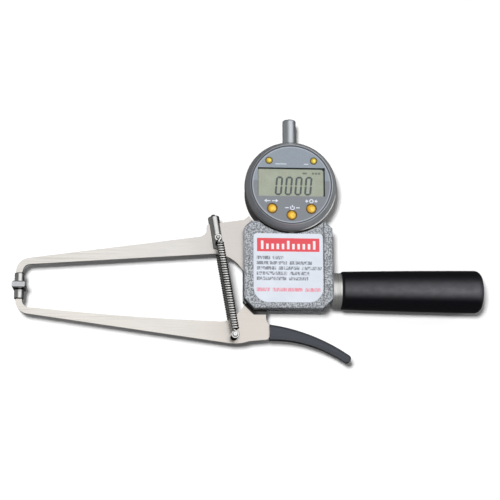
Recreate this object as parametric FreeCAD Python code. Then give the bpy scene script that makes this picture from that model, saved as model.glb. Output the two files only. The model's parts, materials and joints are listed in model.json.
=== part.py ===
"""Skinfold caliper: two steel arms, a sprung lower arm with a lever, and a digital indicator.

The drawing origin is the lower arm's pivot. +X runs along the handle, +Y towards the upper arm
and +Z towards the reader of the display. The finished pieces are moved so that the origin is the
centre of the indicator's flat back, on which the caliper lies.
"""
import FreeCAD, Part
import math
import os

V = FreeCAD.Vector

# ---------------------------------------------------------------- driving dimensions (mm, degrees)
mid_height = 14.0            # middle plane of the arms above the surface it lies on
slip = 0.02                  # radial clearance of a pin, rod or screw in its seat
running = 0.05               # radial clearance of a part that turns or slides
seat_gap = 0.1               # clearance of a disc or a block dropped into its seat
past = 1.0                   # how far a cut runs past the face that it opens
far = 200.0                  # further out than any piece, for cuts that go right through

# housing
housing_left = 12.25         # pivot to the left wall's outside
housing_bottom = 13.2        # pivot to the bottom wall's outside
housing_top = 44.5           # pivot to the top wall's outside
saddle_half = 21.2           # half the width of the indicator's saddle, across the top wall
seam_x = 39.7                # where the halves end and the handle block begins
block_width = 5.8
housing_thickness = 19.0
top_chamfer = 4.4            # corners beside the indicator
low_chamfer = 6.4            # corners on the lever's side
housing_wall = 3.0
edge_bevel = 0.5
seam_width = 0.7             # groove round the housing at the seam
seam_groove = 0.45
cavity_right = 30.0          # pivot to the right end of the mechanism's cavity
cavity_top = 20.5            # and to its top, below the indicator's stem
neck_slot_right = 10.1       # right end of the slot that the lower arm swings in
label_thickness = 0.5
dowel_radius = 1.5
dowel_half = 6.0             # half a dowel's length
screw_radius = 2.0
head_radius = 3.5
head_height = 3.4
head_sink = 0.4              # how far the screws' heads lie below the surface
screw_cover = 2.4            # metal left in front of the case screws' ends
block_screw_radius = 1.7
block_head_radius = 3.0
block_head_height = 3.0
block_screw_grip = 5.9       # how far the block's screws reach into the halves
block_screw_rows = [19.0, 34.5]
grub_radius = 2.0
grub_drop = 6.5              # saddle to the grub screw's axis

# arms
arm_thickness = 3.0
jaw_reach = 157.2            # pivot to the middle of the jaws
jaw_height = 1.0             # height of the line where the jaws meet
tip_width = 4.2
outer_bend = 8.9             # radii of the arms' bends beside the jaws
inner_bend = 4.8
upper_tip_top = 18.4         # upper arm's top edge, run on to the tip's outer corner
upper_root_top = 35.7        # and to the tab
upper_tip_low = 15.1         # its lower edge, run on to the tip's inner corner
upper_root_low = 23.9        # and at the bend towards the housing
root_bend_x = 30.5           # pivot to where the lower edge begins to bend down
tab_left = 36.3              # pivot to the tab's left edge
tab_top = 43.3
tab_fillet = 5.5
horn_left = 8.6              # pivot to the horn that hooks round the indicator
horn_height = 3.6            # horn's foot above the tab
saddle_clearance = 1.1       # between the upper arm and the housing's saddle
lower_tip_top = 13.0         # lower arm's upper edge below the pivot, at its tip
lower_root_top = 21.2        # and at its root
blade_hollow = 1.0           # how far that edge sags between the two
lower_tip_low = 16.0         # its lower edge, run on to the tip's outer corner
lower_root_low = 34.7
blade_root_x = 26.0          # pivot to where the lower arm turns up towards the hub
neck_left = 15.9             # its neck's left edge, at the foot
neck_foot = 15.4             # and how far below the pivot that is
heel_x = 8.4                 # right end of the rounded heel below the neck
heel_low = 33.7
hub_radius = 8.6
bush_radius = 5.0
bush_length = 12.4
bush_flange = 6.6
flange_thickness = 1.6
pivot_radius = 3.0
washer_play = 0.05

# striker on the lower arm: an involute, so the plunger rises in step with the arm's angle
strike_radius = 18.5         # pivot to the plunger's axis
strike_height = 6.0          # height of the plunger's flat tip with the jaws closed

# lever
lever_length = 57.3          # pivot to the sleeve's tip
lever_thickness = 8.0
lever_round = 2.4            # round along the sleeve's edges
lever_start = 4.6
lever_top = 22.8             # pivot down to the sleeve's upper edge where it starts
lever_drop = 24.6            # from there down to the tip
sleeve_fit = 0.2             # how far the tang starts ahead of the sleeve

# jaws
socket_radius = 3.1
socket_length = 6.4
pad_width = 8.4
pad_depth = 15.0
pad_thickness = 2.1
pad_bevel = 0.9
socket_bevel = 0.35
tip_seat = 0.4               # share of the socket that the arm's tip fills
jaw_gap = 0.02

# spring barrel and springs
pin_x = -29.4                # barrel's cross pin, where the springs' upper hooks hang
pin_y = 32.5
barrel_tilt = 9.1
barrel_radius = 3.75
barrel_below = 5.5           # barrel's ends, below and above its pin
barrel_above = 16.6
slot_closed = 4.6            # closed length at the barrel's top, above the slot for the tab
tension_radius = 1.2         # tension screw
tension_stands_out = 1.3
cross_pin_radius = 1.2
stud_x = -18.25              # stud on the lower arm, where the lower hooks hang
stud_y = -31.0
stud_radius = 1.6
stud_core = 2.0              # stud's radius inside the arm
stud_waist = 1.05
collar_radius = 3.1
collar_thickness = 2.8
spring_offset = 11.7         # springs' axes from the arms' middle plane
coil_radius = 2.1
coil_hole = 1.1
ridge_pitch = 3.2            # one ridge of the coil's outline for every two turns of wire
wire_radius = 0.5
cone_length = 1.0            # turns that narrow from the coil to the hook's neck
upper_loop = 1.8             # mean radius of the upper hook's loop
lower_loop = 2.1
upper_lead = 4.3             # pin to the first turn
lower_lead = 3.8             # stud to the last turn

# handle
handle_y = 0.4               # handle's axis above the pivot
rod_radius = 5.0
rod_sunk = 7.5               # how far the rod reaches into the halves
ferrule_length = 6.1
ferrule_radius = 11.5
grip_length = 94.5
grip_front_radius = 12.5
grip_lip = 1.2               # round at the grip's front edge
grip_round = 5.0
grip_dome = 1.6
grip_solid = 8.9             # solid end of the grip beyond the rod

# indicator
bezel_radius = 30.4
saddle_gap = 1.35            # between the bezel and the housing's saddle
case_inset = 1.2             # bezel's rim to the case
case_wall = 2.0
cover_thickness = 1.6
case_top = 19.5              # height of the case's front edge
bezel_flange = 22.2          # height of the flange at the bezel's foot
bezel_step = 1.3             # flange's rim to the groove above it
bezel_groove = 0.6           # width of that groove
bezel_top = 28.3
bezel_rim = 1.0              # width of the raised rim round the panel
bezel_lip = 2.4              # lip that carries the board
panel_radius = 26.0
panel_thickness = 1.2
panel_recess = 0.5
window_width = 44.0
window_height = 19.3
window_lift = 1.76           # window's middle above the indicator's centre
window_margin = 1.5          # how far the pane and the display reach behind the panel
lens_thickness = 0.8
lens_gap = 0.15              # air between the window's pane and the display
board_thickness = 1.5
board_above_case = 1.0
stem_radius = 4.0
stem_wall = 1.1
stem_collar_radius = 5.2     # boss where the stem leaves the case
stem_depth = 14.3            # how far the stem reaches below the saddle
bush_depth = 6.0             # length of the plunger's two bushes
plunger_radius = 2.0
tip_length = 4.0
cap_radius = 4.45
cap_wall = 1.1
cap_crown = 1.4              # thickness of its closed end
cap_length = 18.66           # cap tube above the case
lift_room = 10.6             # room left above the plunger with the jaws closed
strip_below = 13.0           # measuring strip's ends, from the indicator's centre
strip_above = 16.0
strip_half = 3.0
strip_sunk = 0.8             # how far its block wraps round the plunger
strip_proud = 1.0
cover_screw = 1.0            # back cover's screws
cover_head = 1.9
cover_head_top = 1.0
cover_head_sink = 0.2
cover_screw_grip = 5.0       # how far they reach into the bosses
boss_radius = 2.6
back_screw_angles = [45, 135, 225, 315]
cell_radius = 10.0
cell_thickness = 3.2
large_button = 3.2
small_button = 2.15
button_rise = 1.1
button_flange = 0.65         # how far a key's flange reaches past its hole
button_gap = 0.3

# ---------------------------------------------------------------- sizes that follow
front_z = mid_height + housing_thickness / 2
rear_z = mid_height - housing_thickness / 2
arm_top = mid_height + arm_thickness / 2
arm_bottom = mid_height - arm_thickness / 2
housing_right = seam_x + block_width
indicator_x = strike_radius
saddle_radius = bezel_radius + saddle_gap
saddle_depth = saddle_radius - math.sqrt(saddle_radius ** 2 - saddle_half ** 2)
saddle_low = housing_top - saddle_depth
indicator_y = saddle_low + saddle_radius
grub_y = saddle_low - grub_drop
case_radius = bezel_radius - case_inset
case_screw_circle = case_radius - case_wall - 1.4
cap_end = indicator_y + case_radius + cap_length
plunger_low = strike_height + tip_length
plunger_high = cap_end - cap_crown - lift_room
pivot_half = housing_thickness / 2 - housing_wall * 0.4
grip_end_radius = mid_height
grip_x = housing_right + ferrule_length
rod_start = seam_x - rod_sunk
rod_end = grip_x + grip_length - grip_solid
board_z = case_top + board_above_case
panel_top = bezel_top - panel_recess
panel_bottom = panel_top - panel_thickness
spring_run = math.hypot(stud_x - pin_x, pin_y - stud_y)
spring_angle = math.degrees(math.atan2(stud_x - pin_x, pin_y - stud_y))
dowel_places = [(-7.0, 17.0), (3.0, 31.0)]
screw_places = [(-6.0, 34.0), (4.5, 17.0), (34.0, 27.0), (34.0, -7.0)]
large_places = {"zero_button": (12.8, -16.24), "power_button": (0.0, -20.64), "unit_button": (-12.8, -16.24)}
small_places = {"left_small_button": (-14.7, 16.16), "right_small_button": (14.7, 16.16)}


# ---------------------------------------------------------------- helpers
class Outline:
    """A closed outline in a plane across Z, made of straight, round and smooth stretches."""

    def __init__(self, x, y):
        self.start = V(x, y, 0)
        self.here = self.start
        self.edges = []

    def line(self, x, y):
        target = V(x, y, 0)
        self.edges.append(Part.LineSegment(self.here, target).toShape())
        self.here = target
        return self

    def arc(self, via, end):
        target = V(end[0], end[1], 0)
        self.edges.append(Part.Arc(self.here, V(via[0], via[1], 0), target).toShape())
        self.here = target
        return self

    def bend(self, corner, radius, beyond):
        """Straight towards the corner, then a tangent arc that heads for the point beyond it."""
        at = V(corner[0], corner[1], 0)
        back = (self.here - at).normalize()
        ahead = (V(beyond[0], beyond[1], 0) - at).normalize()
        half = back.getAngle(ahead) / 2
        start = at + back * (radius / math.tan(half))
        end = at + ahead * (radius / math.tan(half))
        via = at + (back + ahead).normalize() * (radius / math.sin(half) - radius)
        return self.line(start.x, start.y).arc((via.x, via.y), (end.x, end.y))

    def smooth(self, points):
        curve = Part.BSplineCurve()
        curve.interpolate([self.here] + [V(x, y, 0) for x, y in points])
        self.edges.append(curve.toShape())
        self.here = V(points[-1][0], points[-1][1], 0)
        return self

    def solid(self, bottom, top):
        if self.here.distanceToPoint(self.start) > 1e-6:
            self.line(self.start.x, self.start.y)
        face = Part.Face(Part.Wire(self.edges))
        body = face.extrude(V(0, 0, top - bottom))
        body.translate(V(0, 0, bottom))
        return body


def box(x0, x1, y0, y1, z0, z1):
    return Part.makeBox(x1 - x0, y1 - y0, z1 - z0, V(x0, y0, z0))


def pillar(x, y, radius, z0, z1):
    return Part.makeCylinder(radius, z1 - z0, V(x, y, z0))


def rod_along_x(y, z, radius, x0, x1):
    return Part.makeCylinder(radius, x1 - x0, V(x0, y, z), V(1, 0, 0))


def rod_along_y(x, z, radius, y0, y1):
    return Part.makeCylinder(radius, y1 - y0, V(x, y0, z), V(0, 1, 0))


def turned(profile, axis):
    """Turns a closed profile of (radius, height) points about the Z or the X axis."""
    if axis == "z":
        points = [V(r, 0, h) for r, h in profile]
        direction = V(0, 0, 1)
    else:
        points = [V(h, r, 0) for r, h in profile]
        direction = V(1, 0, 0)
    wire = Part.makePolygon(points + [points[0]])
    return Part.Face(wire).revolve(V(0, 0, 0), direction, 360)


def rounded_rectangle(x0, x1, y0, y1, top_radius, low_radius):
    t = top_radius * (1 - math.sqrt(0.5))
    b = low_radius * (1 - math.sqrt(0.5))
    sheet = Outline(x0 + low_radius, y0).line(x1 - low_radius, y0)
    sheet.arc((x1 - b, y0 + b), (x1, y0 + low_radius)).line(x1, y1 - top_radius)
    sheet.arc((x1 - t, y1 - t), (x1 - top_radius, y1)).line(x0 + top_radius, y1)
    sheet.arc((x0 + t, y1 - t), (x0, y1 - top_radius)).line(x0, y0 + low_radius)
    return sheet.arc((x0 + b, y0 + b), (x0 + low_radius, y0))


def circle_edges(body):
    return [edge for edge in body.Edges if edge.Curve.TypeId == "Part::GeomCircle"]


def moved(shape, x, y, z=0.0, turn=0.0):
    placed = shape.copy()
    placed.rotate(V(0, 0, 0), V(0, 0, 1), turn)
    placed.translate(V(x, y, z))
    return placed


def fused(shapes):
    return shapes[0].multiFuse(shapes[1:]).removeSplitter()


# ---------------------------------------------------------------- arms
def upper_arm_blank():
    """The upper arm's plate, with its tab, its saddle under the indicator and its tongue."""
    tip_left = -jaw_reach - tip_width / 2
    tip_right = -jaw_reach + tip_width / 2
    tip_end = jaw_height + pad_thickness + socket_length * tip_seat
    tongue_right = strike_radius - stem_radius - 5.5
    tongue_low = hub_radius + 3.0
    clear_radius = saddle_radius + saddle_clearance

    def saddle_point(x):
        return x, indicator_y - math.sqrt(clear_radius ** 2 - (indicator_x - x) ** 2)

    tab_corner = (-tab_left, tab_top)
    horn_foot = (-horn_left - 3.0, tab_top + horn_height)
    plate = Outline(tip_left, tip_end)
    plate.bend((tip_left, upper_tip_top), outer_bend, (-tab_left, upper_root_top))
    plate.bend((-tab_left, upper_root_top), tab_fillet, tab_corner)
    plate.bend(tab_corner, 1.4, horn_foot)
    plate.bend(horn_foot, 4.0, saddle_point(-horn_left))
    plate.line(*saddle_point(-horn_left))
    plate.arc(saddle_point((tongue_right - horn_left) / 2), saddle_point(tongue_right))
    plate.line(tongue_right, tongue_low).line(-housing_left + 0.2, tongue_low)
    plate.arc((-20.0, upper_root_low - 3.4), (-root_bend_x, upper_root_low))
    plate.bend((tip_right, upper_tip_low), inner_bend, (tip_right, tip_end))
    return plate.solid(arm_bottom, arm_top)


def upper_arm():
    slot_half = cross_pin_radius + 0.2
    slot_low, slot_high = -2.6, 4.6
    slot = fused([box(-slot_half, slot_half, slot_low, slot_high, arm_bottom - past, arm_top + past),
                  pillar(0, slot_low, slot_half, arm_bottom - past, arm_top + past),
                  pillar(0, slot_high, slot_half, arm_bottom - past, arm_top + past)])
    plate = upper_arm_blank().cut(moved(slot, pin_x, pin_y, 0, barrel_tilt))
    for x, y in dowel_places:
        plate = plate.cut(pillar(x, y, dowel_radius + slip, arm_bottom - past, arm_top + past))
    for x, y in screw_places[:2]:
        plate = plate.cut(pillar(x, y, screw_radius + 0.2, arm_bottom - past, arm_top + past))
    return plate


def involute(angle):
    """A point of the striker's working edge; the plunger's axis touches the base circle."""
    rise = strike_height + strike_radius * angle
    return (strike_radius * math.cos(angle) + rise * math.sin(angle),
            rise * math.cos(angle) - strike_radius * math.sin(angle))


def lever_point(along, down):
    """A point of the lever by its shares of the sleeve's length and of its drop."""
    return (lever_start + along * (lever_length - lever_start), -lever_top - down * lever_drop)


def lower_arm_blank():
    """The lower arm's plate: tip, blade, hub with the striker, and the lever's tang."""
    tip_left = -jaw_reach - tip_width / 2
    tip_right = -jaw_reach + tip_width / 2
    tip_end = jaw_height - pad_thickness - socket_length * tip_seat
    blade_start = tip_right + inner_bend
    root = (-blade_root_x, -lower_root_top)
    foot = (-neck_left, -neck_foot)
    blade_mid = ((blade_start + root[0]) / 2, -(lower_tip_top + lower_root_top) / 2 - blade_hollow)
    lift_start = involute(-0.08)
    lift_end = involute(0.50)
    tang_x = lever_start - sleeve_fit
    plate = Outline(tip_right, tip_end)
    plate.bend((tip_right, -lower_tip_top), inner_bend, (blade_start, -lower_tip_top))
    plate.arc(blade_mid, root)
    plate.arc((root[0] * 0.53 + foot[0] * 0.47, root[1] * 0.725 + foot[1] * 0.275), foot)
    plate.line(-hub_radius * 1.09, -hub_radius * 0.84).line(-hub_radius * 0.93, -hub_radius * 0.37)
    plate.arc((-hub_radius * 0.4, hub_radius * 0.9165), (hub_radius * 0.7, hub_radius * 0.714))
    plate.line(strike_radius - 5.0, strike_height - 0.9).line(lift_start[0], lift_start[1])
    plate.smooth([involute(0.04 + 0.115 * step) for step in range(4)] + [lift_end])
    plate.arc((lift_end[0] + 1.6, lift_end[1] - 2.4), (lift_end[0] + 0.4, lift_end[1] - 4.7))
    plate.line(9.5, -4.8).arc((5.8, -7.4), (4.3, -11.5))
    plate.arc((2.3, -17.9), (tang_x, lever_point(0, 0.03)[1])).line(tang_x, lever_point(0, 0.09)[1])
    plate.arc(lever_point(0.46, 0.33), lever_point(0.88, 0.748)).line(*lever_point(0.86, 0.829))
    plate.arc(lever_point(0.44, 0.435), (tang_x, lever_point(0, 0.333)[1]))
    plate.line(tang_x - 1.2, lever_point(0, 0.4)[1]).line(-heel_x, -heel_low)
    plate.arc((-heel_x - 6.2, -heel_low - 1.4), (-heel_x - 12.6, -lower_root_low - 0.5))
    plate.bend((tip_left, -lower_tip_low), outer_bend, (tip_left, tip_end))
    return plate.solid(arm_bottom, arm_top)


def lower_arm():
    plate = lower_arm_blank()
    plate = plate.cut(pillar(0, 0, bush_radius + slip, arm_bottom - past, arm_top + past))
    return plate.cut(pillar(stud_x, stud_y, stud_core + slip, arm_bottom - past, arm_top + past))


def lever_sleeve():
    """Moulded sleeve over the tang, curved away from the grip and rounded along its edges."""
    half = lever_thickness / 2
    body = Outline(*lever_point(0, 0))
    body.arc(lever_point(0.50, 0.27), lever_point(0.983, 0.809))
    body.arc(lever_point(0.994, 0.947), lever_point(0.935, 1.0))
    body.arc(lever_point(0.53, 0.578), lever_point(0, 0.415))
    sleeve = body.solid(mid_height - half, mid_height + half)
    long_edges = [edge for edge in sleeve.Edges
                  if abs(edge.BoundBox.ZMin - edge.BoundBox.ZMax) < 1e-6
                  and edge.BoundBox.XLength > 1.0]
    sleeve = sleeve.makeFillet(lever_round, long_edges)
    return sleeve.cut(lower_arm_blank())


def pivot_bush():
    half = bush_length / 2
    low, high = mid_height - half, mid_height + half
    body = pillar(0, 0, bush_radius, low, high)
    flange = pillar(0, 0, bush_flange, arm_top, arm_top + flange_thickness)
    return fused([body, flange]).cut(pillar(0, 0, pivot_radius + running, low - past, high + past))


def pivot_pin():
    return pillar(0, 0, pivot_radius, mid_height - pivot_half, mid_height + pivot_half)


def pivot_washers():
    washers = []
    cavity_half = housing_thickness / 2 - housing_wall
    for side in (-1, 1):
        outer = mid_height + side * cavity_half
        inner = mid_height + side * (bush_length / 2 + washer_play)
        low, high = min(outer, inner), max(outer, inner)
        washer = pillar(0, 0, bush_flange, low, high)
        washers.append(washer.cut(pillar(0, 0, pivot_radius + slip, low - past, high + past)))
    return Part.makeCompound(washers)


# ---------------------------------------------------------------- housing
def chamfered_block(inset):
    """The housing's block before anything is cut from it, made smaller all round by the inset."""
    left, right = -housing_left + inset, housing_right - inset
    low, top = -housing_bottom + inset, housing_top - inset
    at_top, at_low = top_chamfer - inset * (2 - math.sqrt(2)), low_chamfer - inset * (2 - math.sqrt(2))
    body = Outline(left, low + at_low).line(left + at_low, low)
    body.line(right - at_low, low).line(right, low + at_low)
    body.line(right, top - at_top).line(right - at_top, top)
    body.line(left + at_top, top).line(left, top - at_top)
    return body.solid(rear_z + inset, front_z - inset)


def housing_block():
    """The block with the indicator's saddle and a groove where the halves meet the handle block."""
    body = chamfered_block(0)
    body = body.cut(pillar(indicator_x, indicator_y, saddle_radius, rear_z - past, front_z + past))
    rims = [edge for edge in body.Edges if edge.BoundBox.ZLength < 1e-6]
    body = body.makeChamfer(edge_bevel, rims)
    groove = box(seam_x - seam_width / 2, seam_x + seam_width / 2, -far, far, -far, far)
    return body.cut(groove.cut(chamfered_block(seam_groove)))


def mechanism_cavity():
    """Space for the hub, the striker and the plunger's tip, with the slot for the arm's neck."""
    left, low = -housing_left + housing_wall, -housing_bottom + housing_wall
    corner = low_chamfer - housing_wall * 0.59
    step = strike_radius - stem_radius - 5.3
    space = Outline(left, low + corner).line(left + corner, low).line(cavity_right, low)
    space.line(cavity_right, cavity_top).line(step, cavity_top).line(step, hub_radius + 2.4)
    space.line(left, hub_radius + 2.4)
    depth = housing_thickness / 2 - housing_wall
    space = space.solid(mid_height - depth, mid_height + depth)
    slot_half = arm_thickness / 2 + 0.5
    slot = box(-housing_left - past, neck_slot_right,
               -housing_bottom - past, -housing_bottom + low_chamfer + 2.8,
               mid_height - slot_half, mid_height + slot_half)
    return fused([space, slot])


def fixings(clearance):
    """Bores for the dowels, the case screws, the block screws, the rod, the pin and the stem."""
    bores = [pillar(x, y, dowel_radius + clearance, mid_height - dowel_half, mid_height + dowel_half)
             for x, y in dowel_places]
    seat = head_height + head_sink
    for x, y in screw_places:
        bores.append(pillar(x, y, screw_radius + clearance, rear_z - past, front_z - screw_cover))
        bores.append(pillar(x, y, head_radius + clearance, rear_z - past, rear_z + seat))
    end = housing_right + past
    for y in block_screw_rows:
        bores.append(rod_along_x(y, mid_height, block_screw_radius + clearance,
                                 seam_x - block_screw_grip - 0.6, end))
        bores.append(rod_along_x(y, mid_height, block_head_radius + clearance,
                                 housing_right - block_head_height - head_sink, end))
    bores.append(rod_along_x(handle_y, mid_height, rod_radius + clearance, rod_start, end))
    bores.append(pillar(0, 0, pivot_radius + clearance, mid_height - pivot_half, mid_height + pivot_half))
    bores.append(rod_along_y(indicator_x, mid_height, stem_radius + clearance,
                             saddle_low - stem_depth, saddle_low + 8))
    bores.append(rod_along_y(indicator_x, mid_height, plunger_radius + 1.4, cavity_top - past, saddle_low))
    bores.append(pillar(indicator_x, grub_y, grub_radius + clearance,
                        rear_z - past, mid_height - stem_radius + 0.5))
    return bores


def housing_half(z0, z1):
    half = housing_block().common(box(-far, seam_x, -far, far, z0, z1))
    half = half.cut(mechanism_cavity()).cut(upper_arm_blank())
    for bore in fixings(slip):
        half = half.cut(bore)
    return half


def housing_front():
    return housing_half(mid_height, front_z)


def housing_rear():
    return housing_half(rear_z, mid_height)


def handle_block():
    block = housing_block().common(box(seam_x, far, -far, far, rear_z, front_z))
    for bore in fixings(slip):
        block = block.cut(bore)
    return block


def label_plate():
    sheet = rounded_rectangle(-6.3, seam_x - 0.7, -housing_bottom + 3.6, saddle_low - 0.4, 2.3, 9.8)
    return sheet.solid(front_z, front_z + label_thickness)


def arm_dowels():
    return Part.makeCompound([pillar(x, y, dowel_radius, mid_height - dowel_half, mid_height + dowel_half)
                              for x, y in dowel_places])


def socket_screw(radius, head, head_thickness, length, key):
    """A socket head screw that stands on its head, with its shank towards +Z."""
    body = fused([pillar(0, 0, head, 0, head_thickness), pillar(0, 0, radius, 0, length)])
    hexagon = [V(key * math.cos(math.radians(60 * i)), key * math.sin(math.radians(60 * i)), -past)
               for i in range(7)]
    recess = Part.Face(Part.makePolygon(hexagon)).extrude(V(0, 0, past + head_thickness * 0.6))
    return body.cut(recess)


def case_screws():
    length = housing_thickness - screw_cover - head_sink - 0.6
    screws = []
    for x, y in screw_places:
        screw = socket_screw(screw_radius, head_radius, head_height, length, head_radius * 0.5)
        screws.append(moved(screw, x, y, rear_z + head_sink))
    return Part.makeCompound(screws)


def block_screws():
    screws = []
    for y in block_screw_rows:
        screw = socket_screw(block_screw_radius, block_head_radius, block_head_height,
                             block_width - head_sink + block_screw_grip, block_head_radius * 0.5)
        screw.rotate(V(0, 0, 0), V(0, 1, 0), -90)
        screw.translate(V(housing_right - head_sink, y, mid_height))
        screws.append(screw)
    return Part.makeCompound(screws)


def stem_grub_screw():
    return pillar(indicator_x, grub_y, grub_radius, rear_z + 0.6, mid_height - stem_radius)


# ---------------------------------------------------------------- handle
def handle_rod():
    return rod_along_x(handle_y, mid_height, rod_radius, rod_start, rod_end)


def ferrule():
    """Turned collar: a plain band, a fine groove and a narrow bead against the grip."""
    r = ferrule_radius
    end = ferrule_length
    bore = rod_radius + slip
    profile = [(bore, 0), (r - 0.5, 0), (r - 0.15, 0.35), (r - 0.1, end * 0.68), (r - 0.45, end * 0.71),
               (r - 0.45, end * 0.75), (r, end * 0.79), (r, end - 0.3), (r - 0.3, end), (bore, end)]
    return moved(turned(profile, "x"), housing_right, handle_y, mid_height)


def grip():
    """Black grip, slightly fuller towards its rounded, gently domed end."""
    end = grip_length
    fat = grip_end_radius
    lip = grip_lip * (1 - math.sqrt(0.5))
    corner = grip_round * (1 - math.sqrt(0.5))
    profile = Outline(0, 0).line(0, grip_front_radius - grip_lip)
    profile.arc((lip, grip_front_radius - lip), (grip_lip, grip_front_radius))
    profile.arc((end * 0.5, grip_front_radius + (fat - grip_front_radius) * 0.66),
                (end - grip_round - grip_dome, fat))
    profile.arc((end - grip_dome - corner, fat - corner), (end - grip_dome, fat - grip_round))
    dome_radius = ((fat - grip_round) ** 2 + grip_dome ** 2) / (2 * grip_dome)
    half_turn = math.asin((fat - grip_round) / dome_radius) / 2
    profile.arc((end - dome_radius * (1 - math.cos(half_turn)), dome_radius * math.sin(half_turn)), (end, 0))
    profile.line(0, 0)
    body = Part.Face(Part.Wire(profile.edges)).revolve(V(0, 0, 0), V(1, 0, 0), 360)
    body = moved(body, grip_x, handle_y, mid_height)
    return body.cut(rod_along_x(handle_y, mid_height, rod_radius + slip, grip_x - past, rod_end))


# ---------------------------------------------------------------- jaws
def jaw_socket(sign):
    """Round socket over an arm's tip; sign is +1 for the upper jaw and -1 for the lower one."""
    face = jaw_height + sign * pad_thickness
    low, high = sorted((face, face + sign * socket_length))
    body = rod_along_y(-jaw_reach, mid_height, socket_radius, low, high)
    return body.makeChamfer(socket_bevel, circle_edges(body))


def upper_socket():
    return jaw_socket(1).cut(upper_arm_blank())


def lower_socket():
    return jaw_socket(-1).cut(lower_arm_blank())


def jaw_pad(sign):
    """Flat pad whose working face is bare and whose back edges are bevelled."""
    face = jaw_height + sign * jaw_gap / 2
    back = jaw_height + sign * pad_thickness
    half = pad_width / 2
    pad = Outline(-jaw_reach - half, face).line(-jaw_reach + half, face)
    pad.line(-jaw_reach + half, back - sign * pad_bevel).line(-jaw_reach + half - pad_bevel, back)
    pad.line(-jaw_reach - half + pad_bevel, back).line(-jaw_reach - half, back - sign * pad_bevel)
    return pad.solid(mid_height - pad_depth / 2, mid_height + pad_depth / 2)


def upper_anvil():
    return jaw_pad(1)


def lower_anvil():
    return jaw_pad(-1)


# ---------------------------------------------------------------- spring barrel and springs
def barrel_slot():
    half = arm_thickness / 2 + running
    low, high = -barrel_below - past, barrel_above - slot_closed
    return box(-far, far, low, high, mid_height - half, mid_height + half)


def spring_barrel():
    """Barrel that straddles the tab, closed at the top where the tension screw goes through."""
    body = rod_along_y(0, mid_height, barrel_radius, -barrel_below, barrel_above)
    body = body.makeChamfer(0.5, circle_edges(body)).cut(barrel_slot())
    body = body.cut(pillar(0, 0, cross_pin_radius + slip, 0, far))
    body = body.cut(rod_along_y(0, mid_height, tension_radius + slip, 0, far))
    return moved(body, pin_x, pin_y, 0, barrel_tilt)


def tension_screw():
    """Screw that bears on the tab's top edge and sets how far the springs are stretched."""
    top = barrel_above + tension_stands_out
    body = rod_along_y(0, mid_height, tension_radius, barrel_above - 6.0, top)
    body = body.cut(box(-2, 2, top - 0.6, top + past, mid_height - 0.25, mid_height + 0.25))
    return moved(body, pin_x, pin_y, 0, barrel_tilt).cut(upper_arm_blank())


def waisted_pin(radius, waist, half_length):
    """A pin across the arms with a groove for each spring's loop."""
    groove = wire_radius + 0.4
    profile = [(0, -half_length), (radius - 0.3, -half_length), (radius, -half_length + 0.3)]
    profile += [(radius, -spring_offset - groove), (waist, -spring_offset - groove)]
    profile += [(waist, -spring_offset + groove), (radius, -spring_offset + groove)]
    profile += [(radius, spring_offset - groove), (waist, spring_offset - groove)]
    profile += [(waist, spring_offset + groove), (radius, spring_offset + groove)]
    profile += [(radius, half_length - 0.3), (radius - 0.3, half_length), (0, half_length)]
    return turned(profile, "z")


def barrel_pin():
    body = waisted_pin(cross_pin_radius, cross_pin_radius - 0.2, spring_offset + 1.6)
    return moved(body, pin_x, pin_y, mid_height)


def spring_stud():
    half = arm_thickness / 2
    body = waisted_pin(stud_radius, stud_waist, mid_height)
    rear_collar = pillar(0, 0, collar_radius, -half - collar_thickness, -half)
    front_collar = pillar(0, 0, collar_radius, half, half + collar_thickness)
    core = pillar(0, 0, stud_core, -half, half)
    return moved(fused([body, rear_collar, front_collar, core]), stud_x, stud_y, mid_height)


def ribbed_coil(z):
    """The spring's coil as a tube with a ridge for every two turns, open along its middle."""
    start = -upper_lead
    end = -(spring_run - lower_lead)
    ridges = round((start - end) / ridge_pitch)
    pitch = (start - end) / ridges
    groove = coil_radius - wire_radius * 0.9
    points = [V(coil_hole, start, 0)]
    for ridge in range(ridges):
        points.append(V(groove, start - pitch * ridge, 0))
        points.append(V(coil_radius, start - pitch * (ridge + 0.5), 0))
    points.append(V(groove, end, 0))
    points.append(V(coil_hole, end, 0))
    tube = Part.Face(Part.makePolygon(points + [points[0]])).revolve(V(0, 0, 0), V(0, 1, 0), 360)
    return moved(tube, pin_x, pin_y, z, spring_angle)


def hook(ring_y, ring_radius, cone_y, direction, z):
    """A loop of wire, its neck and the cone of turns that closes one end of the coil."""
    ring = Part.makeTorus(ring_radius, wire_radius, V(0, ring_y, 0), V(0, 0, 1))
    wide = coil_radius - wire_radius
    cone_end = cone_y - direction * cone_length
    cone = Part.makeCone(wide, wire_radius * 1.1, cone_length, V(0, cone_y, 0), V(0, -direction, 0))
    neck_low, neck_high = sorted((cone_end, ring_y + direction * ring_radius))
    neck = Part.makeCylinder(wire_radius * 0.98, neck_high - neck_low, V(0, neck_low, 0), V(0, 1, 0))
    return moved(fused([ring, neck, cone]), pin_x, pin_y, z, spring_angle)


def spring_hook(z):
    return hook(0, upper_loop, -upper_lead, -1, z)


def spring_foot(z):
    return hook(-spring_run, lower_loop, -(spring_run - lower_lead), 1, z)


# ---------------------------------------------------------------- indicator
def indicator_cylinder(radius, z0, z1):
    return pillar(indicator_x, indicator_y, radius, z0, z1)


def indicator_stem():
    low = saddle_low - stem_depth
    high = indicator_y - case_radius + case_wall
    body = rod_along_y(indicator_x, mid_height, stem_radius, low, high)
    collar = rod_along_y(indicator_x, mid_height, stem_collar_radius, saddle_low + 0.5, high)
    collar = collar.cut(indicator_cylinder(case_radius, -past, far))
    bore = rod_along_y(indicator_x, mid_height, stem_radius - stem_wall, low - past, high + past)
    return fused([body, collar]).cut(bore)


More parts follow.
